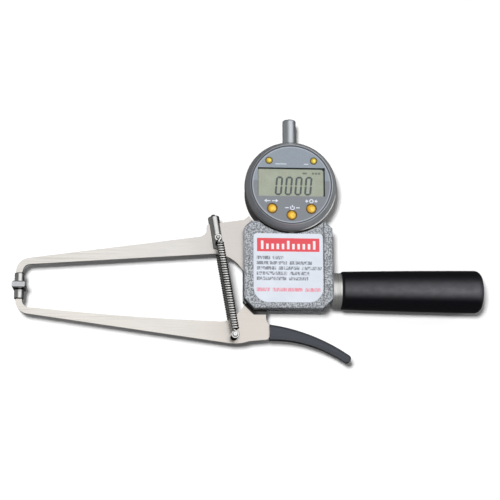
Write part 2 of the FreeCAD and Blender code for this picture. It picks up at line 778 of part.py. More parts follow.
def plunger_bush(radius, low):
    body = rod_along_y(indicator_x, mid_height, radius - slip, low, low + bush_depth)
    return body.cut(rod_along_y(indicator_x, mid_height, plunger_radius + running, low - past,
                                low + bush_depth + past))


def lower_bush():
    return plunger_bush(stem_radius - stem_wall, saddle_low - stem_depth)


def back_screw_points():
    return [(indicator_x + case_screw_circle * math.cos(math.radians(a)),
             indicator_y + case_screw_circle * math.sin(math.radians(a)))
            for a in back_screw_angles]


def indicator_case():
    """Round case, open at the back and the front, with bosses for the back cover's screws."""
    inner = case_radius - case_wall
    body = indicator_cylinder(case_radius, cover_thickness, case_top)
    body = body.cut(indicator_cylinder(inner, cover_thickness - past, case_top - 2))
    body = body.cut(indicator_cylinder(inner - 2.5, case_top - 3, case_top + past))
    within = indicator_cylinder(inner + 0.5, 0, far)
    bosses = [pillar(x, y, boss_radius, cover_thickness, case_top - 2).common(within)
              for x, y in back_screw_points()]
    body = fused([body] + bosses)
    for x, y in back_screw_points():
        body = body.cut(pillar(x, y, cover_screw + slip, cover_thickness - past,
                               cover_thickness + cover_screw_grip + past))
    stem_hole = rod_along_y(indicator_x, mid_height, stem_radius + slip, -far, indicator_y - inner + 2)
    cap_hole = rod_along_y(indicator_x, mid_height, cap_radius + slip, indicator_y + inner - 2, far)
    return body.cut(stem_hole).cut(cap_hole)


def back_cover():
    """Flat back on which the caliper lies, with a bevelled rim."""
    body = indicator_cylinder(case_radius - 0.6, 0, cover_thickness)
    rim = [edge for edge in circle_edges(body) if edge.BoundBox.ZMax < 0.1]
    body = body.makeChamfer(0.5, rim)
    for x, y in back_screw_points():
        body = body.cut(pillar(x, y, cover_screw + slip, -past, cover_thickness + past))
        body = body.cut(pillar(x, y, cover_head + slip, -past, cover_head_top))
    return body


def back_screws():
    screws = []
    for x, y in back_screw_points():
        head = pillar(x, y, cover_head, cover_head_sink, cover_head_top)
        shank = pillar(x, y, cover_screw, cover_head_sink, cover_thickness + cover_screw_grip)
        screw = fused([head, shank])
        for long, wide in ((1.1, 0.2), (0.2, 1.1)):
            screw = screw.cut(box(x - long, x + long, y - wide, y + wide, 0, 0.6))
        screws.append(screw)
    return Part.makeCompound(screws)


def bezel():
    """Front ring: a flange, a groove above it, a taper to a narrow rim, and a lip for the board."""
    bore = panel_radius + running
    lip = panel_radius - bezel_lip
    rim = bore + bezel_rim
    neck = bezel_radius - bezel_step
    cone_foot = bezel_flange + bezel_groove
    profile = [(lip, case_top), (bezel_radius - 0.4, case_top), (bezel_radius, case_top + 0.4),
               (bezel_radius, bezel_flange - 0.3), (bezel_radius - 0.3, bezel_flange),
               (neck, bezel_flange), (neck, cone_foot), (neck + bezel_step * 0.45, cone_foot),
               (neck + bezel_step * 0.45, cone_foot + 0.4), (rim + 0.2, bezel_top - 0.3), (rim, bezel_top),
               (bore, bezel_top), (bore, board_z), (lip, board_z)]
    return moved(turned(profile, "z"), indicator_x, indicator_y)


def circuit_board():
    return indicator_cylinder(panel_radius - seat_gap, board_z, board_z + board_thickness)


def window_box(margin, z0, z1):
    half_width = window_width / 2 + margin
    half_height = window_height / 2 + margin
    middle = indicator_y + window_lift
    return box(indicator_x - half_width, indicator_x + half_width,
               middle - half_height, middle + half_height, z0, z1)


def display():
    block = window_box(window_margin, board_z + board_thickness, panel_bottom - lens_thickness - lens_gap)
    return block.common(indicator_cylinder(panel_radius - seat_gap, 0, bezel_top))


def display_window():
    pane = window_box(window_margin, panel_bottom - lens_thickness, panel_bottom)
    return pane.common(indicator_cylinder(panel_radius - seat_gap, 0, bezel_top))


def face_panel():
    """Front panel inside the bezel, with the window and the buttons' holes."""
    body = indicator_cylinder(panel_radius, panel_bottom, panel_top)
    body = body.cut(window_box(0, panel_bottom - past, panel_top + past))
    for radius, places in ((large_button, large_places), (small_button, small_places)):
        for x, y in places.values():
            body = body.cut(pillar(indicator_x + x, indicator_y + y, radius + button_gap,
                                   panel_bottom - past, panel_top + past))
    return body


def button(place, radius):
    """A domed key with a flange under the panel and a foot above its switch on the board."""
    x, y = indicator_x + place[0], indicator_y + place[1]
    dome_radius = (radius ** 2 + button_rise ** 2) / (2 * button_rise)
    crown = Part.makeSphere(dome_radius, V(x, y, panel_top + button_rise - dome_radius))
    crown = crown.common(pillar(x, y, radius, panel_top, far))
    stem = pillar(x, y, radius, panel_bottom - 0.2, panel_top)
    flange = pillar(x, y, radius + button_flange, panel_bottom - 1.0, panel_bottom - 0.1)
    foot = pillar(x, y, 1.0, board_z + board_thickness + 0.7, panel_bottom - 1.0)
    return fused([crown, stem, flange, foot])


def coin_cell():
    top = cover_thickness + cell_thickness
    return pillar(indicator_x, indicator_y - 5, cell_radius, cover_thickness, top)


def top_cap():
    """Cap tube over the plunger's upper end."""
    low = indicator_y + case_radius - case_wall
    body = rod_along_y(indicator_x, mid_height, cap_radius, low, cap_end)
    end = [edge for edge in circle_edges(body) if edge.BoundBox.YMin > cap_end - 0.1]
    body = body.makeFillet(1.1, end)
    room = rod_along_y(indicator_x, mid_height, cap_radius - cap_wall, low - past, cap_end - cap_crown)
    return body.cut(room)


def upper_bush():
    return plunger_bush(cap_radius - cap_wall, indicator_y + case_radius - case_wall)


def plunger():
    return rod_along_y(indicator_x, mid_height, plunger_radius, plunger_low, plunger_high)


def contact_tip():
    """Flat-ended tip that rides on the striker."""
    body = rod_along_y(indicator_x, mid_height, plunger_radius + 0.6, strike_height + slip, plunger_low)
    return body.makeChamfer(0.3, circle_edges(body))


def scale_strip():
    """Measuring strip on a block that rides with the plunger, in front of it."""
    body = box(indicator_x - strip_half, indicator_x + strip_half,
               indicator_y - strip_below, indicator_y + strip_above,
               mid_height + plunger_radius - strip_sunk, mid_height + plunger_radius + strip_proud)
    return body.cut(rod_along_y(indicator_x, mid_height, plunger_radius, 0, far))


# ---------------------------------------------------------------- all pieces
def all_pieces():
    front_plane = mid_height + spring_offset
    rear_plane = mid_height - spring_offset
    pieces = {
        "housing_front": housing_front(), "housing_rear": housing_rear(),
        "handle_block": handle_block(), "label_plate": label_plate(),
        "case_screws": case_screws(), "block_screws": block_screws(), "arm_dowels": arm_dowels(),
        "stem_grub_screw": stem_grub_screw(),
        "upper_arm": upper_arm(), "upper_socket": upper_socket(), "upper_anvil": upper_anvil(),
        "lower_arm": lower_arm(), "lower_socket": lower_socket(), "lower_anvil": lower_anvil(),
        "lever_sleeve": lever_sleeve(), "pivot_pin": pivot_pin(), "pivot_bush": pivot_bush(),
        "pivot_washers": pivot_washers(),
        "spring_barrel": spring_barrel(), "tension_screw": tension_screw(), "barrel_pin": barrel_pin(),
        "spring_stud": spring_stud(),
        "front_coil": ribbed_coil(front_plane), "front_hook": spring_hook(front_plane),
        "front_foot": spring_foot(front_plane),
        "rear_coil": ribbed_coil(rear_plane), "rear_hook": spring_hook(rear_plane),
        "rear_foot": spring_foot(rear_plane),
        "handle_rod": handle_rod(), "ferrule": ferrule(), "grip": grip(),
        "indicator_stem": indicator_stem(), "lower_bush": lower_bush(),
        "indicator_case": indicator_case(), "back_cover": back_cover(), "back_screws": back_screws(),
        "bezel": bezel(), "circuit_board": circuit_board(), "display": display(),
        "display_window": display_window(), "face_panel": face_panel(), "coin_cell": coin_cell(),
        "top_cap": top_cap(), "upper_bush": upper_bush(), "plunger": plunger(),
        "contact_tip": contact_tip(), "scale_strip": scale_strip(),
    }
    for name, place in large_places.items():
        pieces[name] = button(place, large_button)
    for name, place in small_places.items():
        pieces[name] = button(place, small_button)
    return pieces


os.makedirs("parts", exist_ok=True)
whole = []
for node, shape in all_pieces().items():
    piece = moved(shape, -indicator_x, -indicator_y)
    whole.append(piece)
    volume = piece.Volume / 1000
    print(f"{node:20s} solids {len(piece.Solids):2d}  valid {piece.isValid()}  {volume:8.3f} cm3")
    piece.exportStep(f"parts/{node}.step")
bounds = Part.makeCompound(whole).optimalBoundingBox(False, False)
print(f"pivot at {-indicator_x:.3f}, {-indicator_y:.3f}; box x {bounds.XMin:.2f} {bounds.XMax:.2f}"
      f"  y {bounds.YMin:.2f} {bounds.YMax:.2f}  z {bounds.ZMin:.2f} {bounds.ZMax:.2f}")
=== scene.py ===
# %% [markdown]
# # A digital skinfold caliper
#
# A skinfold caliper pinches a fold of skin between two small pads with a steady force and reads
# its thickness. This one has two flat steel arms, a hammered metal housing, a straight black grip,
# a dark lever, a pair of extension springs and a round electronic indicator.
#
# The solids come ready made from CAD, each piece as its own node, so most of the work is finish.
# Only what CAD keeps plain is built here: the wound springs, the display's figures and the marks
# on the indicator's face.

# %% Load the frame
import json
import math

import bpy
from mathutils import Matrix, Vector


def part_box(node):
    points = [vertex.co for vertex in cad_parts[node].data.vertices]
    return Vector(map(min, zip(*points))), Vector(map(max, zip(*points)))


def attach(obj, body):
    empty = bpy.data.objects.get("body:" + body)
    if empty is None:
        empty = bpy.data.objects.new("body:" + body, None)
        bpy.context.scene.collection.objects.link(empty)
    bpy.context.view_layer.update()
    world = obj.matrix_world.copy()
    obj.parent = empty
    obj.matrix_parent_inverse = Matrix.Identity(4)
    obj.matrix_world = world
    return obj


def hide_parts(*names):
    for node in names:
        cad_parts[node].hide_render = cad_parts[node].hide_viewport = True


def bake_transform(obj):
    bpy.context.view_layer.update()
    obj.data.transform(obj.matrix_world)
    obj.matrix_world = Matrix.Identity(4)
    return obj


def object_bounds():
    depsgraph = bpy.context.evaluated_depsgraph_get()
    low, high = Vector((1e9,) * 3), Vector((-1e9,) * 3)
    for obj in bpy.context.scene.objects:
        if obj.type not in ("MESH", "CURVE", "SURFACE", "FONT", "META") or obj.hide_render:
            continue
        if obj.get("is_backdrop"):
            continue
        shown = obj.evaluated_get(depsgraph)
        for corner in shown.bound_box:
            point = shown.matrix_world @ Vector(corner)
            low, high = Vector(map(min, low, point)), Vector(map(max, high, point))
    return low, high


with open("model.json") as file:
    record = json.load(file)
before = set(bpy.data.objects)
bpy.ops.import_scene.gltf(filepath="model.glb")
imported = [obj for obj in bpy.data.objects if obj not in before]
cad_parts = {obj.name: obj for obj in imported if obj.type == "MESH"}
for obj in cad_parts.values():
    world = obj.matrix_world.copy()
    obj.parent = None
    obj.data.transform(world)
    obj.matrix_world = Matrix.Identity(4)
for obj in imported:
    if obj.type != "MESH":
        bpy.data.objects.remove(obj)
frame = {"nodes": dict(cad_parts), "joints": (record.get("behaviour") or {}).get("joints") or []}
nodes = frame["nodes"]
joints = {joint["name"]: joint for joint in frame["joints"]}
cad_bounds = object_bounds()
MM = 0.001

# %% [markdown]
# ## Places that everything else is measured from
#
# Nothing is placed by eye. The indicator's middle, the display's plane and the springs' two pins
# are read from the nodes and the joints, so the new pieces follow if the CAD model changes.

# %% Landmarks
def middle_of(name):
    """The middle of a node's box."""
    return sum(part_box(name), Vector()) / 2


dial = middle_of("bezel")
bezel_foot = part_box("bezel")[0].z
panel_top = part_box("face_panel")[1].z
display_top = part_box("display")[1].z
label_low, label_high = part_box("label_plate")
label_mid = middle_of("label_plate")
pivot = Vector(joints["arm_hinge"]["pos_m"])
seam_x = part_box("handle_block")[0].x
stud_mid = middle_of("spring_stud")
stud_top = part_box("spring_stud")[1].z
housing_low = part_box("housing_front")[0]
grip_low, grip_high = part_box("grip")
print("dial at", tuple(round(c / MM, 1) for c in dial), "mm, pivot at",
      tuple(round(c / MM, 1) for c in pivot), "mm")

# %% [markdown]
# ## Shader maths as plain expressions
#
# A finish is a small sum: a colour here, a stain where a noise is high, a band where a coordinate
# lies between two limits. Blender writes such sums as Math nodes. `Value` wraps one socket, so
# that `1 - mask * 0.5` adds those nodes by itself and the recipe stays readable.

# %% A socket that can be reckoned with
class Value:
    """One number or colour on a shader socket. Sums of numbers add Math nodes."""

    def __init__(self, recipe, socket):
        self.recipe = recipe
        self.socket = socket

    def _math(self, operation, *others, clamp=False):
        settings = {"operation": operation, "use_clamp": clamp}
        return self.recipe.node("ShaderNodeMath", settings, dict(enumerate((self,) + others)))

    def __add__(self, other):
        return self._math("ADD", other)

    def __sub__(self, other):
        return self._math("SUBTRACT", other)

    def __rsub__(self, other):
        return (self * -1) + other

    def __mul__(self, other):
        return self._math("MULTIPLY", other)

    def __pow__(self, other):
        return self._math("POWER", other)

    def __abs__(self):
        return self._math("ABSOLUTE")

    __radd__ = __add__
    __rmul__ = __mul__

    def above(self, least):
        """The value itself, or least where it is lower."""
        return self._math("MAXIMUM", least)

    def clamp(self):
        """The value held between 0 and 1."""
        return self._math("ADD", 0.0, clamp=True)

    def ramp(self, low, high):
        """0 below low and 1 above high, with a soft step between them; falls if high is less."""
        settings = {"interpolation_type": "SMOOTHSTEP", "clamp": True}
        if high >= low:
            return self.recipe.node("ShaderNodeMapRange", settings, {0: self, 1: low, 2: high})
        rising = self.recipe.node("ShaderNodeMapRange", settings, {0: self, 1: high, 2: low})
        return 1 - rising


print("besides sums, a value knows", [word for word in vars(Value) if word[0] != "_"])

# %% [markdown]
# A `Recipe` is one node tree. Nodes could be wired by hand in Blender's editor, but text is easier
# to compare and to change in one place. A single method makes every node: it takes the node's
# type, the settings that must come first, such as a Math node's operation, and then what its
# sockets get.

# %% A node tree that is written like a recipe
class Recipe:
    """One node tree, which node() adds to."""

    def __init__(self, tree):
        self.tree = tree

    def node(self, kind, settings=None, sockets=None, output=0):
        """Adds a node, applies its settings, fills its sockets and returns one output's Value."""
        node = self.tree.nodes.new(kind)
        for key, value in (settings or {}).items():
            setattr(node, key, value)
        for key, value in (sockets or {}).items():
            self.fill(node.inputs[key], value)
        return Value(self, node.outputs[output])

    def fill(self, socket, value):
        """Links a Value to a socket, or writes a plain number or colour into it."""
        if isinstance(value, Value):
            self.tree.links.new(value.socket, socket)
        else:
            socket.default_value = value


print("one method makes every node:", Recipe.node.__name__)

# %% [markdown]
# A `Finish` is the recipe of one material. It adds what finishes need again and again: the
# surface's own coordinates, the way it faces, noise in millimetres, mixed colours and relief.
# Every colour that changes over a surface is mixed from such values.

# %% A material
made = {}


class Finish(Recipe):
    """A Principled material; what varies is added by node() and plugged in by set()."""

    def __init__(self, name, color, roughness, metallic=0.0, **fixed):
        self.material = bpy.data.materials.new(name)
        self.material.use_nodes = True
        super().__init__(self.material.node_tree)
        self.shader = self.tree.nodes["Principled BSDF"]
        self.set(Base_Color=(*color, 1.0), Roughness=roughness, Metallic=metallic, **fixed)
        self.material.diffuse_color = (*color, 1.0)
        made[name] = self.material

    def set(self, **sockets):
        """Plugs values into the shader's sockets; Base_Color stands for Base Color."""
        for key, value in sockets.items():
            self.fill(self.shader.inputs[key.replace("_", " ")], value)
        return self

    def point(self):
        """The object's own coordinates in metres, which are the frame's."""
        return self.node("ShaderNodeTexCoord", output=3)

    def place(self):
        """The same coordinates, each as a value of its own."""
        x = self.node("ShaderNodeSeparateXYZ", sockets={0: self.point()})
        return [Value(self, out) for out in x.socket.node.outputs]

    def facing(self, axis):
        """How far the surface faces along the object's own X, Y or Z, for an axis of 0, 1 or 2."""
        normal = self.node("ShaderNodeTexCoord", output=1)
        return self.node("ShaderNodeSeparateXYZ", sockets={0: normal}, output=axis)

    def noise(self, size, detail=3.0, stretch=(1, 1, 1), rough=0.5):
        """Noise whose lumps are about size millimetres, stretched along the axes."""
        scaled = self.node("ShaderNodeMapping", {"vector_type": "POINT"},
                           {0: self.point(), 3: tuple(1 / (size * MM * s) for s in stretch)})
        return self.node("ShaderNodeTexNoise", sockets={
            "Vector": scaled, "Scale": 1.0, "Detail": detail, "Roughness": rough})

    def mix(self, amount, under, over):
        """under where amount is 0 and over where it is 1; both are colours or colour values."""
        colours = [c if isinstance(c, Value) else (*c, 1.0) for c in (under, over)]
        return self.node("ShaderNodeMix", {"data_type": "RGBA"},
                         {0: amount, 6: colours[0], 7: colours[1]}, output=2)

    def bump(self, height, depth, strength=1.0):
        """Relief of depth millimetres from a height between 0 and 1."""
        return self.set(Normal=self.node("ShaderNodeBump", sockets={
            "Strength": strength, "Distance": depth * MM, "Height": height}))


print("a finish knows", [word for word in vars(Finish) if word[0] != "_"])

# %% [markdown]
# A CAD node keeps its mesh and its place. A painted skin could be laid over it, but two surfaces
# that lie on each other flicker, so only the materials in its slots are changed. Many stains and
# rings are round, which makes the distance from an axis worth a helper too.

# %% Dressing, and distances from an axis
def dress(finish, *names):
    """Gives CAD nodes a finish through their material slots."""
    for name in names:
        mesh = nodes[name].data
        if not mesh.materials:
            mesh.materials.append(finish.material)
        for index in range(len(mesh.materials)):
            mesh.materials[index] = finish.material


def away(x, y, middle):
    """Distance from an axis along Z through middle."""
    return ((x - middle[0]) ** 2 + (y - middle[1]) ** 2) ** 0.5


print("nodes to dress:", len(nodes))

# %% [markdown]
# ## Satin stainless steel for the two arms
#
# The arms are cut from 3 mm plate, then ground flat along their length. That leaves a fine grain,
# a few broad clouds where the belt pressed harder, and cut edges that are rougher than the ground
# faces; the cut edges are painted darker too, partly for the rougher cut and partly as painted
# shade. A picture of brushed steel could be wrapped round the plates, but it would repeat. A noise
# stretched a hundredfold along X gives a grain that never does. The narrow ends by the jaws are
# paler than the rest, and the wide ends by the housing darker and warmer.
#
# The lower arm swings out of a slot. A painted shadow of the housing lies a few millimetres past
# its chamfered corner, so its edge follows that corner and it is blackest close to it.

# %% Painted shadow round the slot
def painted_slot_shadow(x, y):
    """Where the housing's painted shadow lies over the lower arm, and how black it is there."""
    inward = x - housing_low.x
    upward = y - housing_low.y
    corner = inward + upward
    spread = upward.ramp(-3.5 * MM, -2.8 * MM) * corner.ramp(3.0 * MM, 3.8 * MM)
    spread = spread * inward.ramp(0, 0.4 * MM)
    lip = abs(upward + 0.5 * MM).ramp(0.7 * MM, 0.3 * MM)
    return spread, (corner.ramp(8.5 * MM, 5.5 * MM) + lip).clamp()


print("slot corner at", [round(c / MM, 1) for c in housing_low.xy], "mm")

# %% Arm steel
def arm_steel(name, clean, cloudy, heel, slot_shadow_share):
    """Ground plate in tones clean, cloudy, heel; slot_shadow_share scales the slot's painted
    shadow.
    """
    finish = Finish(name, clean, 0.34, metallic=1.0)
    grain = finish.noise(0.16, detail=2.0, stretch=(110, 1, 1))
    belt = finish.noise(0.9, detail=2.0, stretch=(45, 1, 1))
    clouds = finish.noise(22.0, detail=3.0, stretch=(1.6, 1, 1))
    flat = abs(finish.facing(2)).ramp(0.55, 0.9)
    x, y = finish.place()[:2]
    tip = x.ramp(-85 * MM, -135 * MM)
    tone = finish.mix(clouds.ramp(0.38, 0.62), clean, cloudy)
    tone = finish.mix(x.ramp(-78 * MM, -36 * MM) * 0.92, tone, heel)
    tone = finish.mix(tip * 0.6, tone, (0.96, 0.92, 0.86))
    tone = finish.mix(grain.ramp(0.3, 0.7) * 0.18, tone, (0.62, 0.60, 0.58))
    tone = finish.mix(belt.ramp(0.48, 0.68) * (tip * 0.22 + 0.05), tone, (0.55, 0.52, 0.47))
    # The housing's painted shadow on the lower arm by the slot.
    spread, black = painted_slot_shadow(x, y)
    slot_shadow_tone = finish.mix(black, (0.075, 0.076, 0.08), (0.006, 0.006, 0.005))
    tone = finish.mix(spread * slot_shadow_share, tone, slot_shadow_tone)
    # The cut edges are darker, partly for the rougher cut and partly as painted shade.
    cut_edge_and_shade = (0.33, 0.32, 0.31)
    finish.set(Base_Color=finish.mix(flat, cut_edge_and_shade, tone),
               Roughness=0.56 - flat * 0.33 + grain * 0.06, Metallic=0.35 + flat * 0.65)
    return finish.bump(grain, 0.004, 0.35)


upper_steel = arm_steel("upper_arm_steel", clean=(0.86, 0.835, 0.805), cloudy=(0.80, 0.78, 0.755),
                        heel=(0.745, 0.70, 0.665), slot_shadow_share=0.0)
lower_steel = arm_steel("lower_arm_steel", clean=(0.91, 0.87, 0.825), cloudy=(0.865, 0.835, 0.795),
                        heel=(0.79, 0.735, 0.68), slot_shadow_share=0.96)
dress(upper_steel, "upper_arm")
dress(lower_steel, "lower_arm")
print("arms dressed in", upper_steel.material.name, "and", lower_steel.material.name)

# %% [markdown]
# ## Turned steel
#
# Pins, the spring barrel, the sockets over the arms' tips and the ferrule come off a lathe. The
# tool leaves fine rings round the axis, which spread a highlight into a bar across the piece.
# They could be cut into the meshes, but they are only a few hundredths of a millimetre deep, so
# tone and bump are enough. The rings are a noise squeezed along the turning axis.

# %% Turned steel
along_x, along_y, along_z = (1, 20, 20), (40, 1.2, 40), (40, 40, 1)
short_z = (30, 30, 1)


def turned_steel(name, color, roughness, stretch, metallic=1.0, dirt_and_shadow=None, ring=0.22, depth=0.3):
    """Lathe-turned metal with rings of ring millimetres, stretched round the turning axis.

    depth is how dark the rings are; dirt_and_shadow is 1 on dirty joints and on painted shadow,
    from the surface's x and y."""
    finish = Finish(name, color, roughness, metallic=metallic)
    rings = finish.noise(ring, detail=2.0, stretch=stretch)
    spotting = finish.noise(3.0, detail=3.0)
    dull = tuple(c * 0.72 for c in color)
    shade = finish.mix(spotting.ramp(0.45, 0.75) * 0.35, color, dull)
    tone = finish.mix(rings.ramp(0.35, 0.65) * depth, shade, dull)
    if dirt_and_shadow:
        tone = finish.mix(dirt_and_shadow(*finish.place()[:2]), tone, (0.02, 0.02, 0.019))
    finish.set(Base_Color=tone, Roughness=roughness + rings * 0.1)
    return finish.bump(rings, 0.003, 0.4)


pins = turned_steel("pin_steel", (0.72, 0.72, 0.71), 0.24, along_z)
print("first turned finish:", pins.material.name)

# %% [markdown]
# Oil and old grease stay dark in the joints, where no cloth reaches, and a painted shadow lies on
# the barrel below the springs' hooks. Two short functions say where: the first returns 1 in the
# dirt and the second 1 in the painted shadow, both 0 on clean metal, and the turned finish mixes
# them in.

# %% Dirt in the joints, and a painted shadow by the pin
def jaw_joints(x, y):
    """Oil in the joints between the sockets, the pads and the arms' tips."""
    dark = 0
    for name in ("upper_socket", "lower_socket"):
        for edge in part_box(name):
            dark = abs(y - edge.y).ramp(0.75 * MM, 0.35 * MM) + dark
    return dark.clamp() * 0.85


def pin_hook_shadow(x, y):
    """A painted shadow on the barrel below its pin, under the springs' hooks."""
    # The painted shadow lies right of and below the pin.
    smear = middle_of("barrel_pin") + Vector((0.9 * MM, -2.4 * MM, 0))
    return away(x, y, smear).ramp(2.7 * MM, 2.0 * MM)


print("grease below the pin at", [round(c / MM, 1) for c in middle_of("barrel_pin").xy], "mm")

# %% [markdown]
# The stud that holds the springs' lower ends is a finish of its own. Its head is polished and has a
# small centre mark, the shank under the head is painted dark as shade, and its collar has a black
# painted shadow a little off the middle. Heights and distances from its axis tell those zones
# apart.

# %% The springs' stud
def stud_steel():
    """Bright head, a waist painted dark as shade, and a painted black shadow on the collar."""
    finish = Finish("stud_steel", (0.9, 0.9, 0.89), 0.26, metallic=0.8)
    x, y, z = finish.place()
    grease = finish.noise(0.8, detail=2.0)
    # Painted shade on the shank below the head.
    below_head = z.ramp(stud_top - 0.25 * MM, stud_top - 0.6 * MM)
    on_collar = z.ramp(pivot.z + 5.4 * MM, pivot.z + 4.5 * MM)
    # A painted black shadow on the collar round the shank, a little off its middle.
    seat_shadow_middle = stud_mid + Vector((-0.6 * MM, -0.9 * MM, 0))
    rim = away(x, y, seat_shadow_middle).ramp(2.0 * MM, 2.4 * MM)
    centre = away(x, y, stud_mid).ramp(0.45 * MM, 0.3 * MM)
    centre = centre * z.ramp(stud_top - 0.2 * MM, stud_top - 0.1 * MM)
    shank = finish.mix(below_head, (0.97, 0.97, 0.96), (0.22, 0.215, 0.20))
    shank = finish.mix(centre * 0.6, shank, (0.2, 0.2, 0.2))
    shadowed_collar = finish.mix(rim, (0.010, 0.010, 0.009), (0.82, 0.81, 0.78))
    finish.set(Base_Color=finish.mix(on_collar, shank, shadowed_collar), Roughness=0.24 + grease * 0.12)
    return finish


dress(stud_steel(), "spring_stud")
print("stud's top at", round(stud_top / MM, 1), "mm")

# %% [markdown]
# One function serves all the other turned pieces. The ferrule's rings are coarser and deeper than
# the rest, the tension screw is blackened, and the bearings are bronze instead of steel.

# %% Dress the turned pieces
ferrule = turned_steel("ferrule_steel", (0.86, 0.86, 0.84), 0.27, along_x, metallic=0.82,
                       ring=0.8, depth=0.75)
barrel = turned_steel("barrel_steel", (0.84, 0.84, 0.83), 0.20, along_y, dirt_and_shadow=pin_hook_shadow)
jaw = turned_steel("jaw_steel", (0.92, 0.92, 0.91), 0.25, along_y, dirt_and_shadow=jaw_joints)
pad = turned_steel("pad_steel", (0.62, 0.63, 0.65), 0.20, along_y, metallic=0.75,
                   dirt_and_shadow=jaw_joints)
fastener = turned_steel("fastener_steel", (0.42, 0.42, 0.43), 0.32, short_z)
blackened = turned_steel("blackened_steel", (0.07, 0.07, 0.07), 0.36, short_z, metallic=0.6)
bronze = turned_steel("bearing_bronze", (0.55, 0.38, 0.18), 0.34, short_z)
dress(ferrule, "ferrule", "handle_rod")
dress(pins, "barrel_pin", "pivot_pin")
dress(barrel, "spring_barrel", "indicator_stem", "plunger", "contact_tip")
dress(jaw, "upper_socket", "lower_socket")
dress(pad, "upper_anvil", "lower_anvil")
dress(blackened, "tension_screw")
dress(fastener, "case_screws", "block_screws", "back_screws", "stem_grub_screw", "arm_dowels",
      "coin_cell")
dress(bronze, "pivot_bush", "pivot_washers", "upper_bush", "lower_bush")
print("metal finishes:", [name for name in made if name.endswith(("_steel", "_bronze"))])

# %% [markdown]
# ## Hammered enamel for the housing
#
# Hammer paint dries into a skin of small dimples: silvery flakes gather on the crests and leave
# dark blue-grey pits between them. The dimples could be displaced in the mesh, at the price of a
# million faces. A fine noise carried by a coarser one gives pits that never repeat, and the same
# pattern drives the colour, the gloss and the relief, as it does on real paint.
#
# Dirt gathers along the parting line of the two halves and in the seam of the handle block. The
# lower left chamfer is painted dark as shade, and the upper part of the left wall paler as light.

# %% Hammered enamel
def hammered_enamel():
    """Dark body, silvery crests, darker pits, dirty joints, and painted shade and light on the
    left.
    """
    finish = Finish("hammered_enamel", (0.30, 0.32, 0.35), 0.38, metallic=0.25)
    fine = finish.noise(0.85, detail=1.5, rough=0.55)
    coarse = finish.noise(2.6, detail=1.5)
    skin = fine * 0.85 + coarse * 0.15
    crests = skin.ramp(0.49, 0.59)
    pits = skin.ramp(0.48, 0.40)
    tone = finish.mix(crests, (0.28, 0.298, 0.322), (0.53, 0.557, 0.592))
    tone = finish.mix(pits * 0.7, tone, (0.075, 0.085, 0.10))
    x, y, z = finish.place()
    wall = abs(finish.facing(2)).ramp(0.6, 0.2)
    # Painted shade on the lower left chamfer.
    lower_chamfer_shade = (finish.facing(0) + finish.facing(1)).ramp(-1.15, -1.3)
    tone = finish.mix(lower_chamfer_shade * 0.9, tone, (0.02, 0.022, 0.025))
    # Painted light on the upper part of the left wall.
    left_wall_light = finish.facing(0).ramp(-0.6, -0.9) * (y - label_mid.y).ramp(0, 2 * MM)
    tone = finish.mix(left_wall_light * 0.5, tone, (0.70, 0.72, 0.74))
    parting = abs(z - pivot.z).ramp(0.8 * MM, 0.4 * MM) * wall
    seam = abs(x - seam_x).ramp(0.55 * MM, 0.3 * MM) * (y - label_low.y).ramp(1 * MM, 10 * MM)
    dirt = (parting + seam * 0.55).clamp()
    finish.set(Base_Color=finish.mix(dirt, tone, (0.012, 0.013, 0.015)),
               Roughness=0.46 - crests * 0.14, Metallic=crests * 0.3)
    finish.set(Coat_Weight=0.25, Coat_Roughness=0.25)
    return finish.bump(crests, 0.08, 0.6)


enamel = hammered_enamel()
dress(enamel, "housing_front", "housing_rear", "handle_block")
print("housing dressed in", enamel.material.name)

# %% [markdown]
# ## The label plate
#
# A thin plate, printed bluish white, is glued to the housing. Its print is generic here: a red
# band with a plain scale of ticks and rows of dashes where a maker would print words. The print
# could be an image on the plate, but this way it needs no file and stays sharp: printing has no
# thickness, so it is drawn in the material from the plate's own coordinates.

# %% Patches, rows and ticks
def patch(x, y, middle, width, height, corner=0.0, edge=0.12):
    """1 inside a rectangle with round corners, all in millimetres, and 0 outside it."""
    across = (abs(x - middle[0]) - (width / 2 - corner) * MM).above(0.0)
    along = (abs(y - middle[1]) - (height / 2 - corner) * MM).above(0.0)
    beyond = (across ** 2 + along ** 2) ** 0.5
    inner = max(corner - edge, 0.0)
    return beyond.ramp((inner + 2 * edge) * MM, inner * MM)


def row(x, y, left, middle, dashes, height):
    """A row of bars, dashes long in millimetres, with a gap between them."""
    gap = 1.6
    bars = 0
    for length in dashes:
        bars = patch(x, y, (left + length / 2 * MM, middle), length, height, 0.3) + bars
        left += (length + gap) * MM
    return bars


def scale_ticks(x, y, foot):
    """Eleven upright ticks on a foot line; the first, the middle and the last are longer."""
    pitch, width = 3.4 * MM, 1.4
    ticks = 0
    for tick in range(11):
        height = 5.4 if tick % 5 == 0 else 3.4
        middle = (label_mid.x + (tick - 5) * pitch, foot + height / 2 * MM)
        ticks = patch(x, y, middle, width, height) + ticks
    return ticks


print("label", round((label_high.x - label_low.x) / MM, 1), "mm wide")

# %% Label print
dark_rows = ((8.8, 7.0), (19.8, 14.6), (12.6, 13.6, 13.0), (19.8, 12.8), (19.2, 12.8))
red_row = (8.6, 19.6, 10.0)


